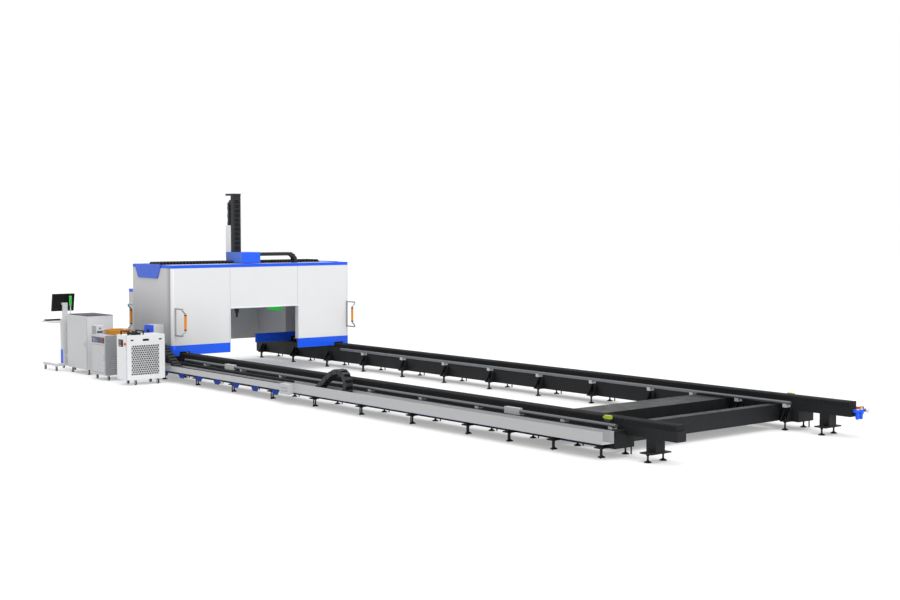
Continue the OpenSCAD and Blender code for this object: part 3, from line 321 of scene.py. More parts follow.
bed_paint = surface("bed_paint", "#1C1D1F", 0.50, drift=0.12, bump=0.10, gloss=0.2)
dress(bed_paint, 0.004, "bed_beams", "seat_lugs", "end_frame", "end_beams")

# Levelling feet and anchor rods: turned pads, studs and nuts in blackened steel.
# The studs stand in the lugs' holes with nuts above and below.
black_steel = surface("black_steel", "#161719", 0.42, metal=0.15, drift=0.15, bump=0.10, gloss=0.25)
dress(black_steel, 0.0, "levelling_feet", "anchor_rods")

# Guide rails and drive racks: ground steel bars bolted to the pedestals.
# The grinding marks run along the bars.
ground_steel = surface("ground_steel", "#B4B6B9", 0.26, metal=1.0, patch=30.0, stretch=(0.05, 1.0, 1.0))
dress(ground_steel, 0.002, "guide_rails", "gear_racks")

# Way covers: fine pleats of coated black cloth over both rails, before the cabin and behind it.
# The front pair lies before the cabin, towards the free end, and the rear pair lies behind it.
COVER_HALF = 0.080
COVER_CUT = 0.012
PLEAT = 0.010
END_PLATE = 0.012
PLATE_EDGE = 0.002
FRONT_PLEATS = 400
REAR_PLEATS = 60
scratch = bpy.data.meshes.new("scratch")


def extent(node):
    low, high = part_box(node)
    return low - SHIFT, high - SHIFT


def joint(name):
    return next(item for item in frame["joints"] if item["name"] == name)


front_low, front_high = extent("front_bellows")
rear_low, rear_high = extent("rear_bellows")
cover_low = front_low.z
cover_top = front_high.z
rail_y = front_high.y - COVER_HALF


def join(bm, part, slot=0):
    for face in part.faces:
        face.material_index = slot
        face.smooth = True
    part.to_mesh(scratch)
    part.free()
    bm.from_mesh(scratch)


def block(bm, low, high, rounding=0.0, slot=0):
    part = bmesh.new()
    low = Vector(low) + SHIFT
    high = Vector(high) + SHIFT
    place = Matrix.Translation((low + high) / 2) @ Matrix.Diagonal((*(high - low), 1.0))
    bmesh.ops.create_cube(part, size=1.0, matrix=place)
    if rounding:
        bmesh.ops.bevel(part, geom=list(part.edges), offset=rounding, segments=2, profile=0.5,
                        affect="EDGES", material=-1)
    join(bm, part, slot)


def folded(steps, points, place):
    part = bmesh.new()
    bmesh.ops.create_grid(part, x_segments=steps, y_segments=points, size=0.5)
    reach = max(vert.co.x for vert in part.verts)
    for vert in part.verts:
        step = round((vert.co.x / reach + 1) / 2 * steps)
        point = round((vert.co.y / reach + 1) / 2 * points)
        vert.co = Vector(place(step, point)) + SHIFT
    return part


def way_cover(bm, x0, x1, y, pleats):
    flat_half = COVER_HALF - COVER_CUT
    shoulder = cover_top - COVER_CUT
    ridge = [(-COVER_HALF, cover_low), (-COVER_HALF, shoulder), (-flat_half, cover_top),
             (flat_half, cover_top), (COVER_HALF, shoulder), (COVER_HALF, cover_low)]
    narrow = (COVER_HALF - PLEAT) / COVER_HALF
    shallow = 1 - PLEAT / (cover_top - cover_low)

    def place(step, point):
        across, up = ridge[point]
        if step % 2 == 0:
            across = across * narrow
            up = cover_low + (up - cover_low) * shallow
        return (x0 + (x1 - x0) * step / (2 * pleats), y + across, up)

    join(bm, folded(2 * pleats, len(ridge) - 1, place))
    for x in (x0, x1 - END_PLATE):
        block(bm, (x, y - COVER_HALF, cover_low), (x + END_PLATE, y + COVER_HALF, cover_top), PLATE_EDGE)


bellows_cloth = surface("bellows_cloth", "#17181A", 0.60, drift=0.15, grain=1500.0, bump=0.20, gloss=0.2)
bm = bmesh.new()
for y in (-rail_y, rail_y):
    way_cover(bm, front_low.x, front_high.x, y, FRONT_PLEATS)
front_cover = piece("front_way_covers", bm, [bellows_cloth], "bed", crease=20.0)
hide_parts("front_bellows")
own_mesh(front_cover)
bm = bmesh.new()
for y in (-rail_y, rail_y):
    way_cover(bm, rear_low.x, rear_high.x, y, REAR_PLEATS)
rear_cover = piece("rear_way_covers", bm, [bellows_cloth], None, crease=20.0)
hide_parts("rear_bellows")
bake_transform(rear_cover)

# Gas tubes along both rails: drawn steel tube on painted standoffs and clamp blocks.
# The near tube catches the light, so it is paler than the bed.
tube_steel = surface("tube_steel", "#6E7073", 0.34, metal=0.55, patch=20.0, stretch=(0.05, 1.0, 1.0))
dress(tube_steel, 0.0, "gas_tubes")
block_paint = surface("block_paint", "#C4C5C7", 0.42, drift=0.03)
dress(block_paint, 0.003, "tube_blocks")

# Chain tray: light grey sheet in two lengths on blue brackets, with the cable entry box.
# The brackets are cut from plate and bolted to the beam's outer face. Under the rear length
# a tapered plate hangs on each bracket's outer end.
tray_paint = surface("tray_paint", "#BDBEC0", 0.40, drift=0.03)
dress(tray_paint, 0.001, "rear_tray", "front_tray")
BRACKET_HALF = 0.040
HANGER_STEP = 0.620
HANGERS = 7
HANGER_HALF = 0.140
HANGER_TIP = 0.065
HANGER_IN = 0.0035
HANGER_DOWN = 0.0082
HANGER_H = 0.0855
HANGER_T = 0.006
bracket_low, bracket_high = extent("tray_brackets")
hanger_y = bracket_low.y + HANGER_IN
hanger_top = bracket_high.z - HANGER_DOWN
hanger_low = hanger_top - HANGER_H


def plate(bm, outline, depth, slot=0):
    part = bmesh.new()
    face = part.faces.new([part.verts.new(Vector(point) + SHIFT) for point in outline])
    made = bmesh.ops.extrude_face_region(part, geom=[face])
    far = [item for item in made["geom"] if isinstance(item, bmesh.types.BMVert)]
    bmesh.ops.translate(part, vec=Vector(depth), verts=far)
    join(bm, part, slot)


bracket_blue = surface("bracket_blue", "#10378F", 0.50, drift=0.08, gloss=0.15)
dress(bracket_blue, 0.002, "tray_brackets")
bm = bmesh.new()
for i in range(HANGERS):
    x = bracket_low.x + BRACKET_HALF + i * HANGER_STEP
    corners = ((x - HANGER_HALF, hanger_top), (x + HANGER_HALF, hanger_top),
               (x + HANGER_TIP, hanger_low), (x - HANGER_TIP, hanger_low))
    plate(bm, [(a, hanger_y, b) for a, b in corners], (0, HANGER_T, 0))
piece("bracket_hangers", bm, [bracket_blue], "bed")

# Travel stops: welded black blocks with rubber noses and a yellow-green upper edge.
# zone() paints a part of a surface in a second colour, with a soft or a sharp border.
NO_LIMIT = (None, None, None)
STOP_EDGE = 0.043


def zone(mat, code, low, high, soft=0.0004):
    nodes = mat.node_tree.nodes
    links = mat.node_tree.links
    socket = nodes["Principled BSDF"].inputs["Base Color"]
    under = socket.links[0].from_socket
    coords = nodes.new("ShaderNodeTexCoord")
    split = nodes.new("ShaderNodeSeparateXYZ")
    links.new(coords.outputs["Object"], split.inputs["Vector"])
    share = None
    for axis in range(3):
        for limit, before, after in ((low[axis], 0.0, 1.0), (high[axis], 1.0, 0.0)):
            if limit is None:
                continue
            edge = nodes.new("ShaderNodeMapRange")
            edge.interpolation_type = "SMOOTHSTEP"
            edge.inputs["From Min"].default_value = limit + SHIFT[axis] - soft
            edge.inputs["From Max"].default_value = limit + SHIFT[axis] + soft
            edge.inputs["To Min"].default_value = before
            edge.inputs["To Max"].default_value = after
            links.new(split.outputs[axis], edge.inputs["Value"])
            if share is None:
                share = edge.outputs["Result"]
                continue
            both = nodes.new("ShaderNodeMath")
            both.operation = "MULTIPLY"
            links.new(share, both.inputs[0])
            links.new(edge.outputs["Result"], both.inputs[1])
            share = both.outputs[0]
    over = nodes.new("ShaderNodeMix")
    over.data_type = "RGBA"
    over.inputs["B"].default_value = rgb(code)
    links.new(share, over.inputs["Factor"])
    links.new(under, over.inputs["A"])
    links.new(over.outputs["Result"], socket)


stop_paint = surface("stop_paint", "#AEBE2A", 0.45, drift=0.06)
stop_top = extent("travel_stops")[1].z
zone(stop_paint, "#1A1B1D", NO_LIMIT, (None, None, stop_top - STOP_EDGE))
dress(stop_paint, 0.004, "travel_stops")

# Air service unit at the far rail's end: a plate with two blue bodies, their bowls and a gauge.
# The regulator's knob is red and the shut-off's is yellow. Small parts like these are measured from
# a corner of the unit that carries them.
AIR_PLATE = ((0.000, 0.000, 0.050), (0.010, 0.290, 0.155))
AIR_BODY = ((0.009, 0.030, 0.090), (0.070, 0.260, 0.135))
BOWL_X = 0.060
BOWL_YS = (0.070, 0.150)
BOWL_TIP = (0.000, 0.012, 0.016, 0.024)
BOWL = (0.012, 0.095, 0.026, 0.026)
AIR_COLLAR = (0.130, 0.142, 0.022, 0.022)
AIR_KNOB = (0.140, 0.175, 0.020, 0.017)
GAUGE_Y = 0.225
GAUGE_Z = 0.112
GAUGE_STEM = (0.066, 0.120, 0.012)
GAUGE_DIAL = (0.112, 0.130, 0.028)


def bar(bm, start, end, radius, end_radius=None, sides=24, slot=0):
    part = bmesh.new()
    start = Vector(start) + SHIFT
    end = Vector(end) + SHIFT
    turn = (end - start).to_track_quat("Z", "Y").to_matrix().to_4x4()
    bmesh.ops.create_cone(part, cap_ends=True, segments=sides, radius1=radius,
                          radius2=radius if end_radius is None else end_radius,
                          depth=(end - start).length, matrix=Matrix.Translation((start + end) / 2) @ turn)
    join(bm, part, slot)


def from_corner(corner, *offsets):
    return [corner + Vector(offset) for offset in offsets]


blue_paint = surface("blue_paint", "#1C5FF6", 0.34, drift=0.03, coat=0.10, gloss=0.25)
red_plastic = surface("red_plastic", "#C81E1E", 0.35)
yellow_plastic = surface("yellow_plastic", "#E3B715", 0.40)
clear_white = surface("clear_white", "#E4E5E6", 0.30, drift=0.02)
brass = surface("brass", "#C79A3B", 0.30, metal=1.0)
air_low = extent("air_unit")[0]
bm = bmesh.new()
block(bm, *from_corner(air_low, *AIR_PLATE), 0.002, slot=0)
block(bm, *from_corner(air_low, *AIR_BODY), 0.006, slot=1)
for y, knob in zip(BOWL_YS, (2, 3)):
    turned = ((BOWL_TIP, 1), (BOWL, 1), (AIR_COLLAR, 4), (AIR_KNOB, knob))
    for (low, high, radius, end_radius), look in turned:
        bar(bm, *from_corner(air_low, (BOWL_X, y, low), (BOWL_X, y, high)), radius, end_radius, slot=look)
for (start, end, radius), look in ((GAUGE_STEM, 5), (GAUGE_DIAL, 4)):
    bar(bm, *from_corner(air_low, (start, GAUGE_Y, GAUGE_Z), (end, GAUGE_Y, GAUGE_Z)), radius, slot=look)
air_looks = [black_steel, blue_paint, red_plastic, yellow_plastic, clear_white, brass]
air = piece("air_service_unit", bm, air_looks, "bed")
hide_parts("air_unit")

# Long cable chain: moulded black links with two side plates and two crossbars each, and three cables.
# It comes down from the drive box, lies in the tray, and rises to the loop that follows the cabin.
# As the cabin nears the free end, the two halves of the upper run draw in and rise over the lower run.
CHAIN_PITCH = 0.085
CHAIN_LIFT = 0.005
CHAIN_FALL = 0.850
CHAIN_RISE = 0.800
CHAIN_STEPS = 200
CORNER_SLACK = 0.00001
CABLES = (-0.27, 0.0, 0.27)
CABLE_SHARE = 0.24
CABLE_SIDES = 8
LINK_HALF = 0.56
LINK_WALL = 0.075
LINK_INSET = 0.55
LINK_CUT = 0.45
CROSSBAR_HALF = 0.30
CROSSBAR_T = 0.10
CROSSBAR_SINK = 1.2
CROSSBAR_TAPER = 0.7
run_low, run_high = extent("lower_chain_run")
upper_low, upper_high = extent("upper_chain_run")
loop_x = extent("chain_loop")[0].x
chain_start = upper_low.x
chain_y = (run_low.y + run_high.y) / 2
chain_w = run_high.y - run_low.y
chain_h = run_high.z - run_low.z
run_z = (run_low.z + run_high.z) / 2
chain_low = run_z + CHAIN_LIFT
chain_high = upper_high.z - chain_h / 2
loop_r = (chain_high - run_z) / 2


def link(bm, middle, along, across, step, width, height, odd):
    up = across.cross(along)
    half = step * LINK_HALF
    tall = height / 2
    wall = width * LINK_WALL
    inset = wall * LINK_INSET if odd else 0.0
    cut = tall * LINK_CUT
    corners = [(-half, cut - tall), (cut - half, -tall), (half - cut, -tall), (half, cut - tall),
               (half, tall - cut), (half - cut, tall), (cut - half, tall), (-half, tall - cut)]
    bar_half = step * CROSSBAR_HALF
    tip = bar_half * CROSSBAR_TAPER
    thick = height * CROSSBAR_T
    for way in (-1, 1):
        edge = middle + across * (way * (width / 2 - inset))
        plate(bm, [edge + along * a + up * b for a, b in corners], -across * (way * wall))
        foot = middle + up * (way * (tall - thick * CROSSBAR_SINK)) - across * (width / 2 - wall)
        rung = ((-bar_half, 0.0), (bar_half, 0.0), (tip, thick), (-tip, thick))
        plate(bm, [foot + along * a + up * (way * b) for a, b in rung], across * (width - 2 * wall))


def chain(bm, path, across, width, height, pitch):
    total = sum((b - a).length for a, b in zip(path, path[1:]))
    count = max(1, round(total / pitch))
    step = total / count
    walked = 0.0
    place = 0
    # A link on a corner of the path lies along the stretch after it.
    for a, b in zip(path, path[1:]):
        length = (b - a).length
        while place < count and (place + 0.5) * step <= walked + length - CORNER_SLACK:
            middle = a + (b - a) * (((place + 0.5) * step - walked) / length)
            link(bm, middle, (b - a).normalized(), across, step, width, height, place % 2)
            place += 1
        walked += length
    for share in CABLES:
        line = [point + across * (share * width) + SHIFT for point in path[::4] + path[-1:]]
        tube(bm, line, across, height * CABLE_SHARE, CABLE_SIDES, slot=1)


def drop(share):
    return (1 - math.cos(math.pi * min(1.0, max(0.0, share)))) / 2


def chain_z(x):
    fall = drop((x - chain_start) / CHAIN_FALL)
    rise = drop((x - loop_x + CHAIN_RISE) / CHAIN_RISE)
    return chain_low + (chain_high - chain_low) * max(1 - fall, rise)


along_x = Vector((1, 0, 0))
along_y = Vector((0, 1, 0))
BOW_STEPS = 60
half_turn = [math.pi * i / BOW_STEPS for i in range(BOW_STEPS + 1)]
chain_plastic = surface("chain_plastic", "#2A2B2E", 0.48, drift=0.15, bump=0.12, gloss=0.3)
cable_rubber = surface("cable_rubber", "#0E0F10", 0.55, drift=0.15, gloss=0.2)
CHAIN_LOOKS = [chain_plastic, cable_rubber]
middle_x = (chain_start + loop_x) / 2
half_run = middle_x - chain_start
for name, first, held, way, body in (("upper_chain", chain_start, chain_start, 1, "gantry"),
                                     ("upper_chain_end", middle_x, loop_x, -1, "chain_loop")):
    spots = [first + half_run * i / CHAIN_STEPS for i in range(CHAIN_STEPS + 1)]
    bm = bmesh.new()
    chain(bm, [Vector((x, chain_y, chain_z(x))) for x in spots], along_y, chain_w, chain_h, CHAIN_PITCH)
    upper_chain = piece(name, bm, CHAIN_LOOKS, body)
    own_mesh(upper_chain)
    if body == "gantry":
        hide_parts("upper_chain_run")
bm = bmesh.new()
chain(bm, [Vector((loop_x + loop_r * math.sin(t), chain_y, run_z + loop_r + loop_r * math.cos(t)))
           for t in half_turn], along_y, chain_w, chain_h, CHAIN_PITCH)
chain_bow = piece("chain_bow", bm, CHAIN_LOOKS, "chain_loop")
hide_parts("chain_loop")
bm = bmesh.new()
chain(bm, [Vector((loop_x, chain_y, run_z)), Vector((run_low.x, chain_y, run_z))], along_y,
      chain_w, chain_h, CHAIN_PITCH)
lower_chain = piece("lower_chain", bm, CHAIN_LOOKS, None)
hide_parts("lower_chain_run")
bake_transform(lower_chain)

# Drive box on the cabin's near side: a grey sheet body with a blue outer cover.
# The cover has one rounded corner and a round cap, and the chain's end bracket comes out below.
grey_paint = surface("grey_paint", "#C9CACC", 0.40, drift=0.03)
black_plastic = surface("black_plastic", "#121315", 0.48, drift=0.10, bump=0.15, gloss=0.25)
DRIVE_L = 0.340
DRIVE_ROUND = 0.090
ROUND_STEPS = 8
DRIVE_COVER = 0.025
CAP_T = 0.012
CAP_DOWN = 0.120
BRACKET_SINK = 0.010
drive_low, drive_high = extent("drive_box")
drive_front = drive_low.x + DRIVE_L
drive_face = drive_low.y + CAP_T
drive_sheet = drive_face + DRIVE_COVER
cap_x = (drive_low.x + drive_front) / 2
cap_z = drive_high.z - CAP_DOWN
bm = bmesh.new()
block(bm, (drive_low.x, drive_sheet, drive_low.z), (drive_front, drive_high.y, drive_high.z), 0.008, slot=0)
outline = [(drive_low.x, drive_low.z), (drive_front, drive_low.z), (drive_front, drive_high.z)]
for i in range(ROUND_STEPS + 1):
    turn = math.pi / 2 * i / ROUND_STEPS
    back = drive_low.x + DRIVE_ROUND * (1 - math.sin(turn))
    outline.append((back, drive_high.z - DRIVE_ROUND * (1 - math.cos(turn))))
plate(bm, [(x, drive_face, z) for x, z in outline], (0, DRIVE_COVER, 0), slot=1)
bar(bm, (cap_x, drive_face, cap_z), (cap_x, drive_low.y, cap_z), 0.045, 0.040, slot=2)
block(bm, (drive_front - BRACKET_SINK, chain_y - chain_w / 2, chain_high - chain_h / 2),
      (drive_high.x, chain_y + chain_w / 2, chain_high + chain_h / 2), 0.004, slot=2)
drive = piece("drive_cover", bm, [grey_paint, blue_paint, black_plastic], "gantry")
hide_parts("drive_box")

# Cabin walls: folded sheet, powder coated. The front is white, and the sides are a pale grey that is
# painted darker downwards and towards the corner posts as painted shade. The near post's rounding is
# painted white as a painted highlight, and the far post's rounding is painted darker as painted shade.
FRONT_SHADE = (None, -0.700, 0.950)
SIDE_SHADE_Z = 1.300
POST_SHADE_X = -0.150
POST_X = -0.061
FAR_POST_Y = 1.950
front_paint = surface("front_paint", "#E9EAEB", 0.36, drift=0.012, coat=0.10)
# The lower near part of the front is painted darker: painted shade.
zone(front_paint, "#D2D3D4", NO_LIMIT, FRONT_SHADE, soft=0.750)
dress(front_paint, 0.004, "front_panels")
side_paint = surface("side_paint", "#CBCBCD", 0.36, drift=0.02, coat=0.10)
# Painted shade: the sides darken downwards and just before the corner posts, and the far post's rounding is
# darker; the near post's rounding is a painted highlight in white.
zone(side_paint, "#A8A9AB", NO_LIMIT, (None, None, SIDE_SHADE_Z), soft=0.500)
zone(side_paint, "#98999B", (POST_SHADE_X, None, None), NO_LIMIT, soft=0.085)
zone(side_paint, "#E6E6E7", (POST_X, None, None), NO_LIMIT)
zone(side_paint, "#8A8B8D", (POST_X, FAR_POST_Y, None), NO_LIMIT)
dress(side_paint, 0.004, "side_walls")

# Roof, blue bands and badges: the roof is plain grey sheet inside the blue band,
# and the skirt and the tapered side plates are folded sheet in the same blue.
dress(grey_paint, 0.002, "roof")
dress(blue_paint, 0.006, "top_trim")
dress(blue_paint, 0.005, "skirt")
# The side badges are painted a paler blue than the bands: a painted reflection of the white surround.
badge_painted_reflection_blue = surface("badge_painted_reflection_blue", "#4168DC", 0.40, drift=0.03, gloss=0.3)
dress(badge_painted_reflection_blue, 0.012, "side_badges")

# Wipers: black rubber strips behind the skirt's notches, clamped round the way covers at both ends
# of the cabin, so that no gap shows over the covers.
WIPER_T = 0.005
WIPER_FIT = 0.003
WIPER_IN = COVER_HALF + WIPER_FIT
WIPER_OUT = 0.125
WIPER_H = 0.037
WIPER_LIFT = 0.0005
WIPER_BACK = 0.0305
skirt_low, skirt_high = extent("skirt")
wiper_low = skirt_low.z + WIPER_LIFT
wiper_lip = cover_top + WIPER_FIT
wiper_top = wiper_lip + WIPER_H
wiper_ends = (skirt_high.x - WIPER_BACK, skirt_low.x + WIPER_BACK + WIPER_T)
rim = [(-WIPER_OUT, wiper_low), (-WIPER_IN, wiper_low), (-WIPER_IN, wiper_lip), (WIPER_IN, wiper_lip),
       (WIPER_IN, wiper_low), (WIPER_OUT, wiper_low), (WIPER_OUT, wiper_top), (-WIPER_OUT, wiper_top)]
bm = bmesh.new()
for x in wiper_ends:
    for y in (-rail_y, rail_y):
        plate(bm, [(x, y + off, z) for off, z in rim], (-WIPER_T, 0, 0))
piece("rail_wipers", bm, [cable_rubber], "gantry")

# Rear hood: folded grey sheet on the cabin's back, with a blue upper edge and an inside painted paler and
# warmer as painted light.
# The green panes stop laser light and sit in cut-outs of the sheet.
HOOD_INSIDE_PAINTED_LIGHT = ((-2.665, -1.490, 0.0), (-1.580, 1.490, 1.552))
HOOD_EDGE = ((None, None, 1.508), (-1.601, None, 1.600))
PANE_GREEN = "#2BB944"
hood_paint = surface("hood_paint", "#D2D3D5", 0.42, drift=0.03)
# The inside is painted paler and warmer: painted light where little light reaches in.
zone(hood_paint, "#EDE8DC", *HOOD_INSIDE_PAINTED_LIGHT)
zone(hood_paint, "#2461F2", *HOOD_EDGE)
dress(hood_paint, 0.004, "rear_hood")
pane_green = surface("pane_green", PANE_GREEN, 0.12, drift=0.03)
pane = pane_green.node_tree.nodes["Principled BSDF"]
pane.inputs["Transmission Weight"].default_value = 0.35
# The panes glow faintly in their own green: painted light, for they are no lamp.
pane.inputs["Emission Color"].default_value = rgb(PANE_GREEN)
pane.inputs["Emission Strength"].default_value = 0.40
dress(pane_green, 0.001, "hood_windows")

# Corner guards: bent steel tube on the cabin's four corners.
# An orange safety bar with black end collars sits on the outer stretch of each.
guard_steel = surface("guard_steel", "#9A9CA0", 0.34, metal=0.45)
dress(guard_steel, 0.0, "guard_brackets")
COLLAR_H = 0.018
COLLAR_BLACK = "#17181A"
bar_low, bar_high = extent("guard_bars")
orange_bar = surface("orange_bar", "#E98A17", 0.45, drift=0.04, gloss=0.2)
zone(orange_bar, COLLAR_BLACK, NO_LIMIT, (None, None, bar_low.z + COLLAR_H))
zone(orange_bar, COLLAR_BLACK, (None, None, bar_high.z - COLLAR_H), NO_LIMIT)
dress(orange_bar, 0.002, "guard_bars")

# Gantry frame inside the cabin: welded saddles, columns and the cross beam.
# They are sprayed in a mid grey machine paint and ride on the guide rails.
frame_grey = surface("frame_grey", "#94979A", 0.45, drift=0.05)
dress(frame_grey, 0.003, "gantry_saddles", "gantry_beam")

# Roof bellows: steep pleats of black cloth over the ram's slot, one length at each side of the
# carriage. Each stretches between the roof's end and the carriage's cover.
ROOF_PLEAT = 0.048
ROOF_CLOTH = 0.003
ROOF_STEP = 0.070
ROOF_LIFT = 0.0005
COVER_GAP = 0.0003
roof_low, roof_high = extent("roof_bellows")
hatch_low, hatch_high = extent("carriage_cover")
cover_near = hatch_low.y - COVER_GAP
cover_far = hatch_high.y + COVER_GAP


def roof_cover(name, fixed, moving):
    pleats = round(abs(moving - fixed) / ROOF_STEP)

    def place(step, point):
        up = roof_low.z + ROOF_LIFT + (ROOF_PLEAT if step % 2 else 0.0)
        return (roof_high.x if point else roof_low.x, fixed + (moving - fixed) * step / (2 * pleats), up)

    part = folded(2 * pleats, 1, place)
    bmesh.ops.recalc_face_normals(part, faces=list(part.faces))
    if sum(face.normal.z for face in part.faces) > 0:
        bmesh.ops.reverse_faces(part, faces=list(part.faces))
    bmesh.ops.solidify(part, geom=list(part.faces), thickness=ROOF_CLOTH)
    bm = bmesh.new()
    join(bm, part)
    made = piece(name, bm, [bellows_cloth], None, crease=15.0)
    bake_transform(made)
    return made


near_roof = roof_cover("near_roof_cover", roof_low.y, cover_near)
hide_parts("roof_bellows")
roof_cover("far_roof_cover", roof_high.y, cover_far)

# Carriage: a plate on the cross beam's rails, with the white lift housing behind the ram.
# A blue sheet cover closes the roof's slot round the ram.
housing_white = surface("housing_white", "#F8F8F9", 0.36, drift=0.012, coat=0.10)
dress(housing_white, 0.004, "carriage")
HATCH_PAINTED_REFLECTION_DEPTH = 0.0015
cover_blue = surface("cover_blue", "#2766FA", 0.34, drift=0.03, coat=0.10, gloss=0.25)
# The cover's near face is painted a paler blue: a painted reflection of the white surround.
zone(cover_blue, "#4F78E4", NO_LIMIT, (None, hatch_low.y + HATCH_PAINTED_REFLECTION_DEPTH, None))
dress(cover_blue, 0.002, "carriage_cover")

# Cross chain on the roof: moving run from the cover, bow, and fixed run in the trough.
SMALL_PITCH = 0.070
over_low, over_high = extent("cross_upper_run")
under_low, under_high = extent("cross_lower_run")
cross_x = (over_low.x + over_high.x) / 2
cross_y = extent("cross_loop")[0].y
cross_high = (over_low.z + over_high.z) / 2
cross_low = (under_low.z + under_high.z) / 2
cross_r = (cross_high - cross_low) / 2
small_w = over_high.x - over_low.x
small_h = over_high.z - over_low.z
bm = bmesh.new()
chain(bm, [Vector((cross_x, cover_far, cross_high)), Vector((cross_x, cross_y, cross_high))], along_x,
      small_w, small_h, SMALL_PITCH)
cross_upper = piece("cross_upper_chain", bm, CHAIN_LOOKS, None)
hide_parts("cross_upper_run")
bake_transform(cross_upper)
bm = bmesh.new()
chain(bm, [Vector((cross_x, under_low.y, cross_low)), Vector((cross_x, cross_y, cross_low))], along_x,
      small_w, small_h, SMALL_PITCH)
cross_lower = piece("cross_lower_chain", bm, CHAIN_LOOKS, None)
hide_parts("cross_lower_run")
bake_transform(cross_lower)
bm = bmesh.new()
chain(bm, [Vector((cross_x, cross_y + cross_r * math.sin(t), cross_high - cross_r + cross_r * math.cos(t)))
           for t in half_turn], along_x, small_w, small_h, SMALL_PITCH)
cross_bow = piece("cross_chain_bow", bm, CHAIN_LOOKS, "cross_loop")
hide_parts("cross_loop")

# Ram and its lift chain: a black column with a rack, and bars welded into the pockets of its front.
# The chain has a leg on the housing, a bow, and a leg inside the ram's bay.
POCKET_PAINTED_SHADE = ((-0.930, -0.1435, 2.350), (-0.8720, -0.0175, None))
ram_paint = surface("ram_paint", "#2D2E30", 0.50, drift=0.10, bump=0.10, gloss=0.2)
# The insides of the front's pockets are painted near-black: painted shade in the recesses.
zone(ram_paint, "#040405", *POCKET_PAINTED_SHADE)
dress(ram_paint, 0.002, "ram")
POCKETS = 11
POCKET_LOW = 2.360
POCKET_STEP = 0.090
POCKET_HIGH = 0.060
POCKET_SIDES = (-0.1428, -0.0182)
POCKET_FACE = -0.8735
FILLER_T = 0.006
FILLER_W = 0.034
RUNG_H = 0.016
FILLER_FIT = 0.0003
filler_paint = surface("filler_paint", "#1F2022", 0.50, drift=0.10, bump=0.10, gloss=0.2)
bm = bmesh.new()
near_y, far_y = POCKET_SIDES
for i in range(POCKETS):
    low = POCKET_LOW + i * POCKET_STEP + FILLER_FIT
    high = low + POCKET_HIGH - 2 * FILLER_FIT
    middle = (low + high) / 2
    for y0, y1, z0, z1 in ((near_y, near_y + FILLER_W, low, high), (far_y - FILLER_W, far_y, low, high),
                           (near_y + FILLER_W, far_y - FILLER_W, middle - RUNG_H / 2, middle + RUNG_H / 2)):
        block(bm, (POCKET_FACE - FILLER_T, y0, z0), (POCKET_FACE, y1, z1))
piece("ram_fillers", bm, [filler_paint], "ram")
back_low, back_high = extent("lift_fixed_run")
bay_low, bay_high = extent("lift_moving_run")
lift_y = (back_low.y + back_high.y) / 2
lift_z = extent("lift_loop")[0].z
lift_back = (back_low.x + back_high.x) / 2
lift_front = (bay_low.x + bay_high.x) / 2
lift_r = (lift_front - lift_back) / 2
for name, node, x, low, start_z, end_z in (
        ("lift_back_chain", "lift_fixed_run", lift_back, back_low.z, back_low.z, 2 * lift_z - back_low.z),
        ("lift_front_chain", "lift_moving_run", lift_front, bay_low.z, 2 * lift_z - bay_low.z, bay_low.z)):
    bm = bmesh.new()
    chain(bm, [Vector((x, lift_y, low)), Vector((x, lift_y, lift_z))], along_y, small_w, small_h, SMALL_PITCH)
    leg = piece(name, bm, CHAIN_LOOKS, None)
    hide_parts(node)
    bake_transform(leg)
bm = bmesh.new()
chain(bm, [Vector((lift_back + lift_r * (1 - math.cos(t)), lift_y, lift_z + lift_r * math.sin(t)))
           for t in half_turn], along_y, small_w, small_h, SMALL_PITCH)
lift_bow = piece("lift_chain_bow", bm, CHAIN_LOOKS, "lift_loop")
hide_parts("lift_loop")

# Turning unit and cutting head: dark machined parts under the ram.
# The head tilts in the unit's fork and has a copper nozzle at its tip.
dress(black_steel, 0.003, "turn_unit")
NOZZLE_H = 0.024
head_low = extent("cutting_head")[0]
head_paint = surface("head_paint", "#222427", 0.36, metal=0.3)
zone(head_paint, "#B87745", NO_LIMIT, (None, None, head_low.z + NOZZLE_H))
dress(head_paint, 0.002, "cutting_head")

# Control stand: folded grey sheet with a blue strip low on its post, a black keyboard on the shelf,
# and a signal lamp with a green lens on a pale pole.
STAND_STRIP = ((-2.900, None, 0.150), (-2.760, -2.862, 0.420))
LENS_LOW = 1.272
stand_paint = surface("stand_paint", "#D0D2D4", 0.40, drift=0.03)
zone(stand_paint, "#2461F2", *STAND_STRIP)
dress(stand_paint, 0.004, "control_stand")
dress(black_plastic, 0.002, "keyboard")
lamp_green = surface("lamp_green", "#22D23C", 0.25, coat=0.3)
zone(lamp_green, "#CDCFD1", NO_LIMIT, (None, None, LENS_LOW))
dress(lamp_green, 0.002, "signal_lamp")

# Monitor: a black moulded case that leans on its pin, with the screen on the operator's side
# and cooling ribs on the back.
LEAN = math.radians(10.0)
pin = Vector(joint("monitor_tilt")["pos_m"]) - SHIFT
SCREEN_X = -0.0625
SCREEN_T = 0.0005
SCREEN_HALF = 0.212
SCREEN_LOW = -0.140
SCREEN_HIGH = 0.174
RIBS = 7
RIB_FIRST = -0.150
RIB_STEP = 0.050
RIB_HALF = 0.012
RIB_LOW = 0.060
RIB_HIGH = 0.150
RIB_X = -0.0240
RIB_T = 0.0035


def leaned(x, y, z):
    back = x * math.cos(LEAN) + z * math.sin(LEAN)
    return pin + Vector((back, y, z * math.cos(LEAN) - x * math.sin(LEAN)))


def panel(bm, x, depth, y0, y1, z0, z1, slot):
    face = [leaned(x, y, z) for y, z in ((y0, z0), (y1, z0), (y1, z1), (y0, z1))]
    plate(bm, face, leaned(x + depth, 0, 0) - leaned(x, 0, 0), slot)


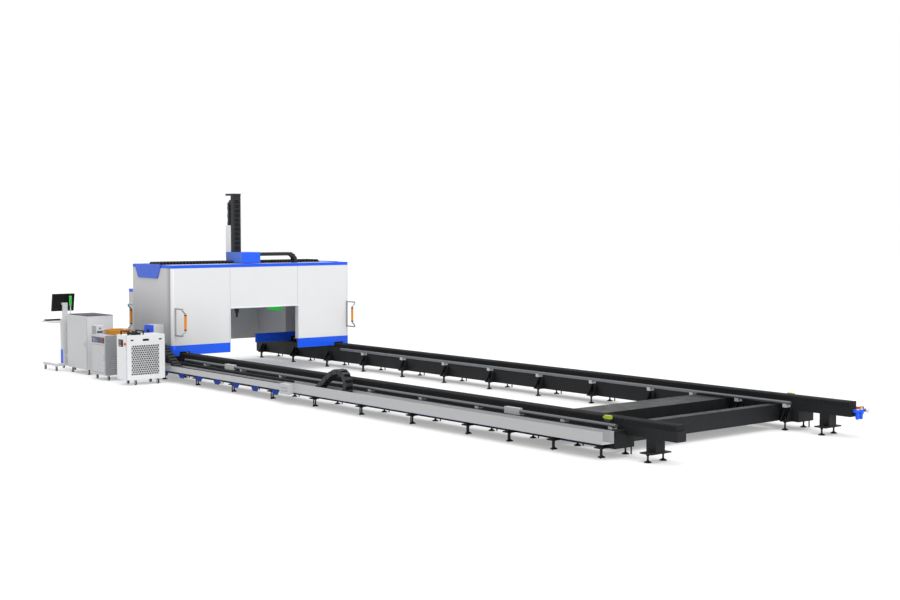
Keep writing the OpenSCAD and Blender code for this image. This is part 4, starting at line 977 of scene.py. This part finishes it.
dress(black_plastic, 0.004, "monitor")
screen_blue = surface("screen_blue", "#2C3C80", 0.20, coat=0.3)
bm = bmesh.new()
panel(bm, SCREEN_X, SCREEN_T, -SCREEN_HALF, SCREEN_HALF, SCREEN_LOW, SCREEN_HIGH, slot=0)
for i in range(RIBS):
    y = RIB_FIRST + i * RIB_STEP
    panel(bm, RIB_X, RIB_T, y - RIB_HALF, y + RIB_HALF, RIB_LOW, RIB_HIGH, slot=1)
piece("monitor_trim", bm, [screen_blue, black_plastic], "monitor")

# Power cabinet: folded grey sheet on black pads, with a hinged door.
# A darker plate lies on its lid, and pressed louvres let air through its end.
CABINET_PAINTED_LIGHT_DEPTH = 0.020
PAD_TOP = 0.0985
cabinet_high = extent("power_cabinet")[1]
cabinet_paint = surface("cabinet_paint", "#CACBCD", 0.40, drift=0.03)
# The end towards the free end is painted lighter: painted light.
zone(cabinet_paint, "#DEDFE0", (cabinet_high.x - CABINET_PAINTED_LIGHT_DEPTH, None, None), NO_LIMIT)
zone(cabinet_paint, "#1A1B1D", NO_LIMIT, (None, None, PAD_TOP))
dress(cabinet_paint, 0.004, "power_cabinet")
dress(grey_paint, 0.004, "cabinet_door")
lid_grey = surface("lid_grey", "#3F4144", 0.55, drift=0.04, gloss=0.15)
LID_PLATE = ((-0.856, -0.528, -0.0002), (0.006, 0.006, 0.008))
LOUVRES = 9
LOUVRE_FIRST = 0.260
LOUVRE_STEP = 0.026
LOUVRE_SINK = 0.0002
LOUVRE_OUT = 0.008
LOUVRE_LIP = 0.004
LOUVRE_H = 0.014
LOUVRE_END = 0.400
LOUVRE_W = 0.260
louvre_x = cabinet_high.x - LOUVRE_SINK
louvre_y = cabinet_high.y - LOUVRE_END
lip_x = cabinet_high.x + LOUVRE_OUT
bm = bmesh.new()
block(bm, *from_corner(cabinet_high, *LID_PLATE), 0.003, slot=0)
for i in range(LOUVRES):
    z = LOUVRE_FIRST + i * LOUVRE_STEP
    blade = ((louvre_x, louvre_y, z), (lip_x, louvre_y, z + LOUVRE_LIP), (louvre_x, louvre_y, z + LOUVRE_H))
    plate(bm, blade, (0, LOUVRE_W, 0), slot=1)
piece("cabinet_trim", bm, [lid_grey, grey_paint], "bed")

# Laser source: a grey sheet body whose side towards the chiller is painted darker as painted shade,
# a dark strip with its display and keys, a door seam, a pull and knobs, and on top the box with the fibre's
# gland.
SOURCE_PAINTED_SHADE_DEPTH = 0.0035
SOURCE_PAINTED_SHADE_TOP = 0.826
BOX_PAINTED_SHADE_DEPTH = 0.011
source_low, source_high = extent("laser_source")
box_low = extent("fibre_box")[0]
source_paint = surface("source_paint", "#C2C3C5", 0.40, drift=0.03)
# The side towards the chiller is painted darker below its top edge: painted shade.
zone(source_paint, "#8F9193", (source_high.x - SOURCE_PAINTED_SHADE_DEPTH, None, None), (None, None, SOURCE_PAINTED_SHADE_TOP))
dress(source_paint, 0.005, "laser_source")
dress(red_plastic, 0.002, "stop_button")
box_paint = surface("box_paint", "#CDCED1", 0.40, drift=0.03)
# The box's near face is painted darker: painted shade.
zone(box_paint, "#97999B", NO_LIMIT, (None, box_low.y + BOX_PAINTED_SHADE_DEPTH, None))
dress(box_paint, 0.004, "fibre_box")
dark_strip = surface("dark_strip", "#50545B", 0.40)
pale_steel = surface("pale_steel", "#B9BBBE", 0.30, metal=0.9)
STRIP = ((0.031, 0.0065, 0.581), (0.559, 0.0082, 0.689))
DISPLAY = ((0.050, 0.004, 0.603), (0.330, 0.0068, 0.667))
STOP_PLATE = ((0.516, 0.004, 0.583), (0.557, 0.0068, 0.687))
KEY = ((0.346, 0.0045, 0.600), (0.368, 0.0068, 0.616))
KEYS = 3
KEY_STEP = Vector((0, 0, 0.026))
PULL = ((0.512, -0.008, 0.260), (0.534, 0.0005, 0.380))
DOOR_SIDES = (0.030, 0.560)
DOOR_ENDS = (0.040, 0.550)
SEAM_W = 0.004
SEAM_OUT = -0.0006
SEAM_IN = 0.0004
KNOB_IN = 0.589
KNOB_OUT = 0.600
KNOB_Y = 0.060
KNOB_ZS = (0.090, 0.640)
LAMP = ((0.1745, 0.088, 0.1067), (0.178, 0.088, 0.1067))
LAMP_R = 0.015
BOX_STRIP = ((0.1745, 0.025, 0.0177), (0.1765, 0.137, 0.0597))
bm = bmesh.new()
block(bm, *from_corner(source_low, *STRIP), slot=0)
block(bm, *from_corner(source_low, *DISPLAY), 0.002, slot=1)
block(bm, *from_corner(source_low, *STOP_PLATE), 0.002, slot=2)
for i in range(KEYS):
    block(bm, *from_corner(source_low + i * KEY_STEP, *KEY), 0.001, slot=2)
block(bm, *from_corner(source_low, *PULL), 0.004, slot=3)
left, right = DOOR_SIDES
bottom, top = DOOR_ENDS
for x in (left, right - SEAM_W):
    seam = ((x, SEAM_OUT, bottom), (x + SEAM_W, SEAM_IN, top))
    block(bm, *from_corner(source_low, *seam), slot=2)
for z in (bottom, top - SEAM_W):
    seam = ((left, SEAM_OUT, z), (right, SEAM_IN, z + SEAM_W))
    block(bm, *from_corner(source_low, *seam), slot=2)
for z in KNOB_ZS:
    bar(bm, *from_corner(source_low, (KNOB_IN, KNOB_Y, z), (KNOB_OUT, KNOB_Y, z)), 0.013, 0.011, slot=3)
bar(bm, *from_corner(box_low, *LAMP), LAMP_R, slot=2)
block(bm, *from_corner(box_low, *BOX_STRIP), slot=0)
piece("source_trim", bm, [dark_strip, screen_blue, black_plastic, pale_steel], "bed")

# Chiller: white sheet with a perforated side panel over a dark heat exchanger, a display, an edge
# strip, catches, a red and yellow main switch, and pump fittings between the handles on top.
GRILLE_WEB = ((None, -2.983, 0.180), (None, -2.439, 0.710))
GRILLE_PAINTED_SHADE_DEPTH = 0.001
SWITCH_BASE = 0.0107
chiller_low = extent("chiller")[0]
grille_high = extent("chiller_grille")[1]
switch_high = extent("chiller_switch")[1]
chiller_paint = surface("chiller_paint", "#EAEBEC", 0.36, drift=0.012, coat=0.15)
dress(chiller_paint, 0.006, "chiller")
grille_paint = surface("grille_paint", "#EAEBEC", 0.40, drift=0.012)
zone(grille_paint, "#CBCCCE", *GRILLE_WEB)
# Behind the panel's face, the walls of the holes are painted dark: painted shade.
zone(grille_paint, "#5C5D5F", NO_LIMIT, (grille_high.x - GRILLE_PAINTED_SHADE_DEPTH, None, None))
dress(grille_paint, 0.0, "chiller_grille")
dress(black_plastic, 0.003, "chiller_handles")
switch_red = surface("switch_red", "#D01F1F", 0.35)
zone(switch_red, "#E2C21C", (None, switch_high.y - SWITCH_BASE, None), NO_LIMIT)
dress(switch_red, 0.002, "chiller_switch")
exchanger = surface("exchanger", "#525456", 0.60, drift=0.2, gloss=0.2, patch=90.0, grain=300.0, bump=0.3)
CORE = ((0.370, 0.061, 0.061), (0.380, 0.669, 0.639))
PANEL_CASE = ((0.061, 0.001, 0.581), (0.249, 0.006, 0.709))
PANEL_GLASS = ((0.076, -0.0005, 0.630), (0.176, 0.002, 0.698))
PANEL_KEY = ((0.078, -0.0005, 0.596), (0.096, 0.002, 0.612))
PANEL_KEYS = 4
PANEL_KEY_STEP = Vector((0.025, 0, 0))
EDGE_STRIP = ((0.375, -0.0008, 0.010), (0.380, 0.0002, 0.780))
GRIP_SLOT = ((0.403, 0.302, 0.682), (0.4085, 0.418, 0.718))
SIDE_CATCH = ((0.416, -0.026, 0.693), (0.420, 0.026, 0.717))
SIDE_CATCH_YS = (0.090, 0.640)
DOOR_CATCH = ((0.368, -0.006, 0.370), (0.386, 0.0002, 0.410))
PUMP_XS = (0.130, 0.210, 0.290)
PUMP = ((0, 0.160, 0.790), (0, 0.160, 0.825))
VALVE = ((0, 0.240, 0.790), (0, 0.240, 0.845))
PIPE_ENDS = (0.075, 0.345)
PIPES = ((0.200, 0.815, 0.016), (0.280, 0.810, 0.014))
CLAMP = ((-0.015, 0.170, 0.789), (0.015, 0.300, 0.805))
CLAMP_XS = (0.100, 0.320)
bm = bmesh.new()
block(bm, *from_corner(chiller_low, *CORE), slot=5)
block(bm, *from_corner(chiller_low, *PANEL_CASE), 0.003, slot=0)
block(bm, *from_corner(chiller_low, *PANEL_GLASS), 0.002, slot=1)
for i in range(PANEL_KEYS):
    block(bm, *from_corner(chiller_low + i * PANEL_KEY_STEP, *PANEL_KEY), 0.001, slot=2)
block(bm, *from_corner(chiller_low, *EDGE_STRIP), slot=3)
block(bm, *from_corner(chiller_low, *GRIP_SLOT), 0.001, slot=0)
for y in SIDE_CATCH_YS:
    block(bm, *from_corner(chiller_low + along_y * y, *SIDE_CATCH), 0.002, slot=0)
block(bm, *from_corner(chiller_low, *DOOR_CATCH), 0.002, slot=4)
for x in PUMP_XS:
    bar(bm, *from_corner(chiller_low + along_x * x, *PUMP), 0.026, 0.022, slot=0)
    bar(bm, *from_corner(chiller_low + along_x * x, *VALVE), 0.018, slot=0)
for y, z, radius in PIPES:
    bar(bm, *from_corner(chiller_low, *[(x, y, z) for x in PIPE_ENDS]), radius, slot=0)
for x in CLAMP_XS:
    block(bm, *from_corner(chiller_low + along_x * x, *CLAMP), 0.003, slot=0)
piece("chiller_trim", bm, [black_plastic, dark_strip, block_paint, blue_paint, pale_steel, exchanger],
      "bed")

# Castors under the stand, the laser source and the chiller: a plate, a pressed fork, an axle bolt,
# a pale hub and a black tyre with rounded shoulders.
WHEEL_R = 0.0375
HUB_R = WHEEL_R * 0.66
SHOULDER_R = WHEEL_R * 0.88
HUB_HALF = 0.0135
TREAD_HALF = 0.009
TYRE_HALF = 0.013
WHEEL_SIDES = 32
FORK_IN = 0.014
FORK_T = 0.005
FORK_LOW = WHEEL_R - 0.010
FORK_TIP = 0.012
FORK_HALF = 0.020
AXLE_HALF = 0.022
AXLE_R = 0.006
CARRY = 0.100
FORK_TOP = CARRY - 0.010
NECK_LOW = CARRY - 0.018
NECK_TOP = CARRY - 0.008
NECK_R = 0.021
PLATE_HALF = 0.024
PLATE_LOW = CARRY - 0.0085
PLATE_TOP = CARRY - 0.0003
CHILLER_WHEELS = ((0.030, 0.320), (-2.880, -2.440))
SOURCE_WHEELS = ((-1.120, -0.650), (-2.930, -2.490))
STAND_WHEELS = ((-3.350, -2.830), (-2.980, -2.600))
hub_white = surface("hub_white", "#D6D7D9", 0.38, drift=0.03)
tyre_black = surface("tyre_black", "#18191A", 0.60, drift=0.12)


def wheel(bm, x, y0, y1, *shape, **look):
    bar(bm, (x, y0, WHEEL_R), (x, y1, WHEEL_R), *shape, **look)


def castor(bm, x, y):
    wheel(bm, x, y - HUB_HALF, y + HUB_HALF, HUB_R, sides=28, slot=2)
    wheel(bm, x, y - TREAD_HALF, y + TREAD_HALF, WHEEL_R, sides=WHEEL_SIDES, slot=0)
    for way in (-1, 1):
        wheel(bm, x, y + way * TREAD_HALF, y + way * TYRE_HALF, WHEEL_R, SHOULDER_R,
              sides=WHEEL_SIDES, slot=0)
        fork = [(x - FORK_TIP, FORK_LOW), (x + FORK_TIP, FORK_LOW),
                (x + FORK_HALF, FORK_TOP), (x - FORK_HALF, FORK_TOP)]
        plate(bm, [(a, y + way * FORK_IN, b) for a, b in fork], (0, way * FORK_T, 0), slot=2)
    wheel(bm, x, y - AXLE_HALF, y + AXLE_HALF, AXLE_R, sides=12, slot=1)
    bar(bm, (x, y, NECK_LOW), (x, y, NECK_TOP), NECK_R, slot=1)
    block(bm, (x - PLATE_HALF, y - PLATE_HALF, PLATE_LOW), (x + PLATE_HALF, y + PLATE_HALF, PLATE_TOP),
          0.002, slot=1)


bm = bmesh.new()
for xs, ys in (CHILLER_WHEELS, SOURCE_WHEELS, STAND_WHEELS):
    for x in xs:
        for y in ys:
            castor(bm, x, y)
castors = piece("castors", bm, [tyre_black, pale_steel, hub_white], "bed")
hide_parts("casters")

# The mesh that joined the parts of the pieces is no longer needed.
bpy.data.meshes.remove(scratch)
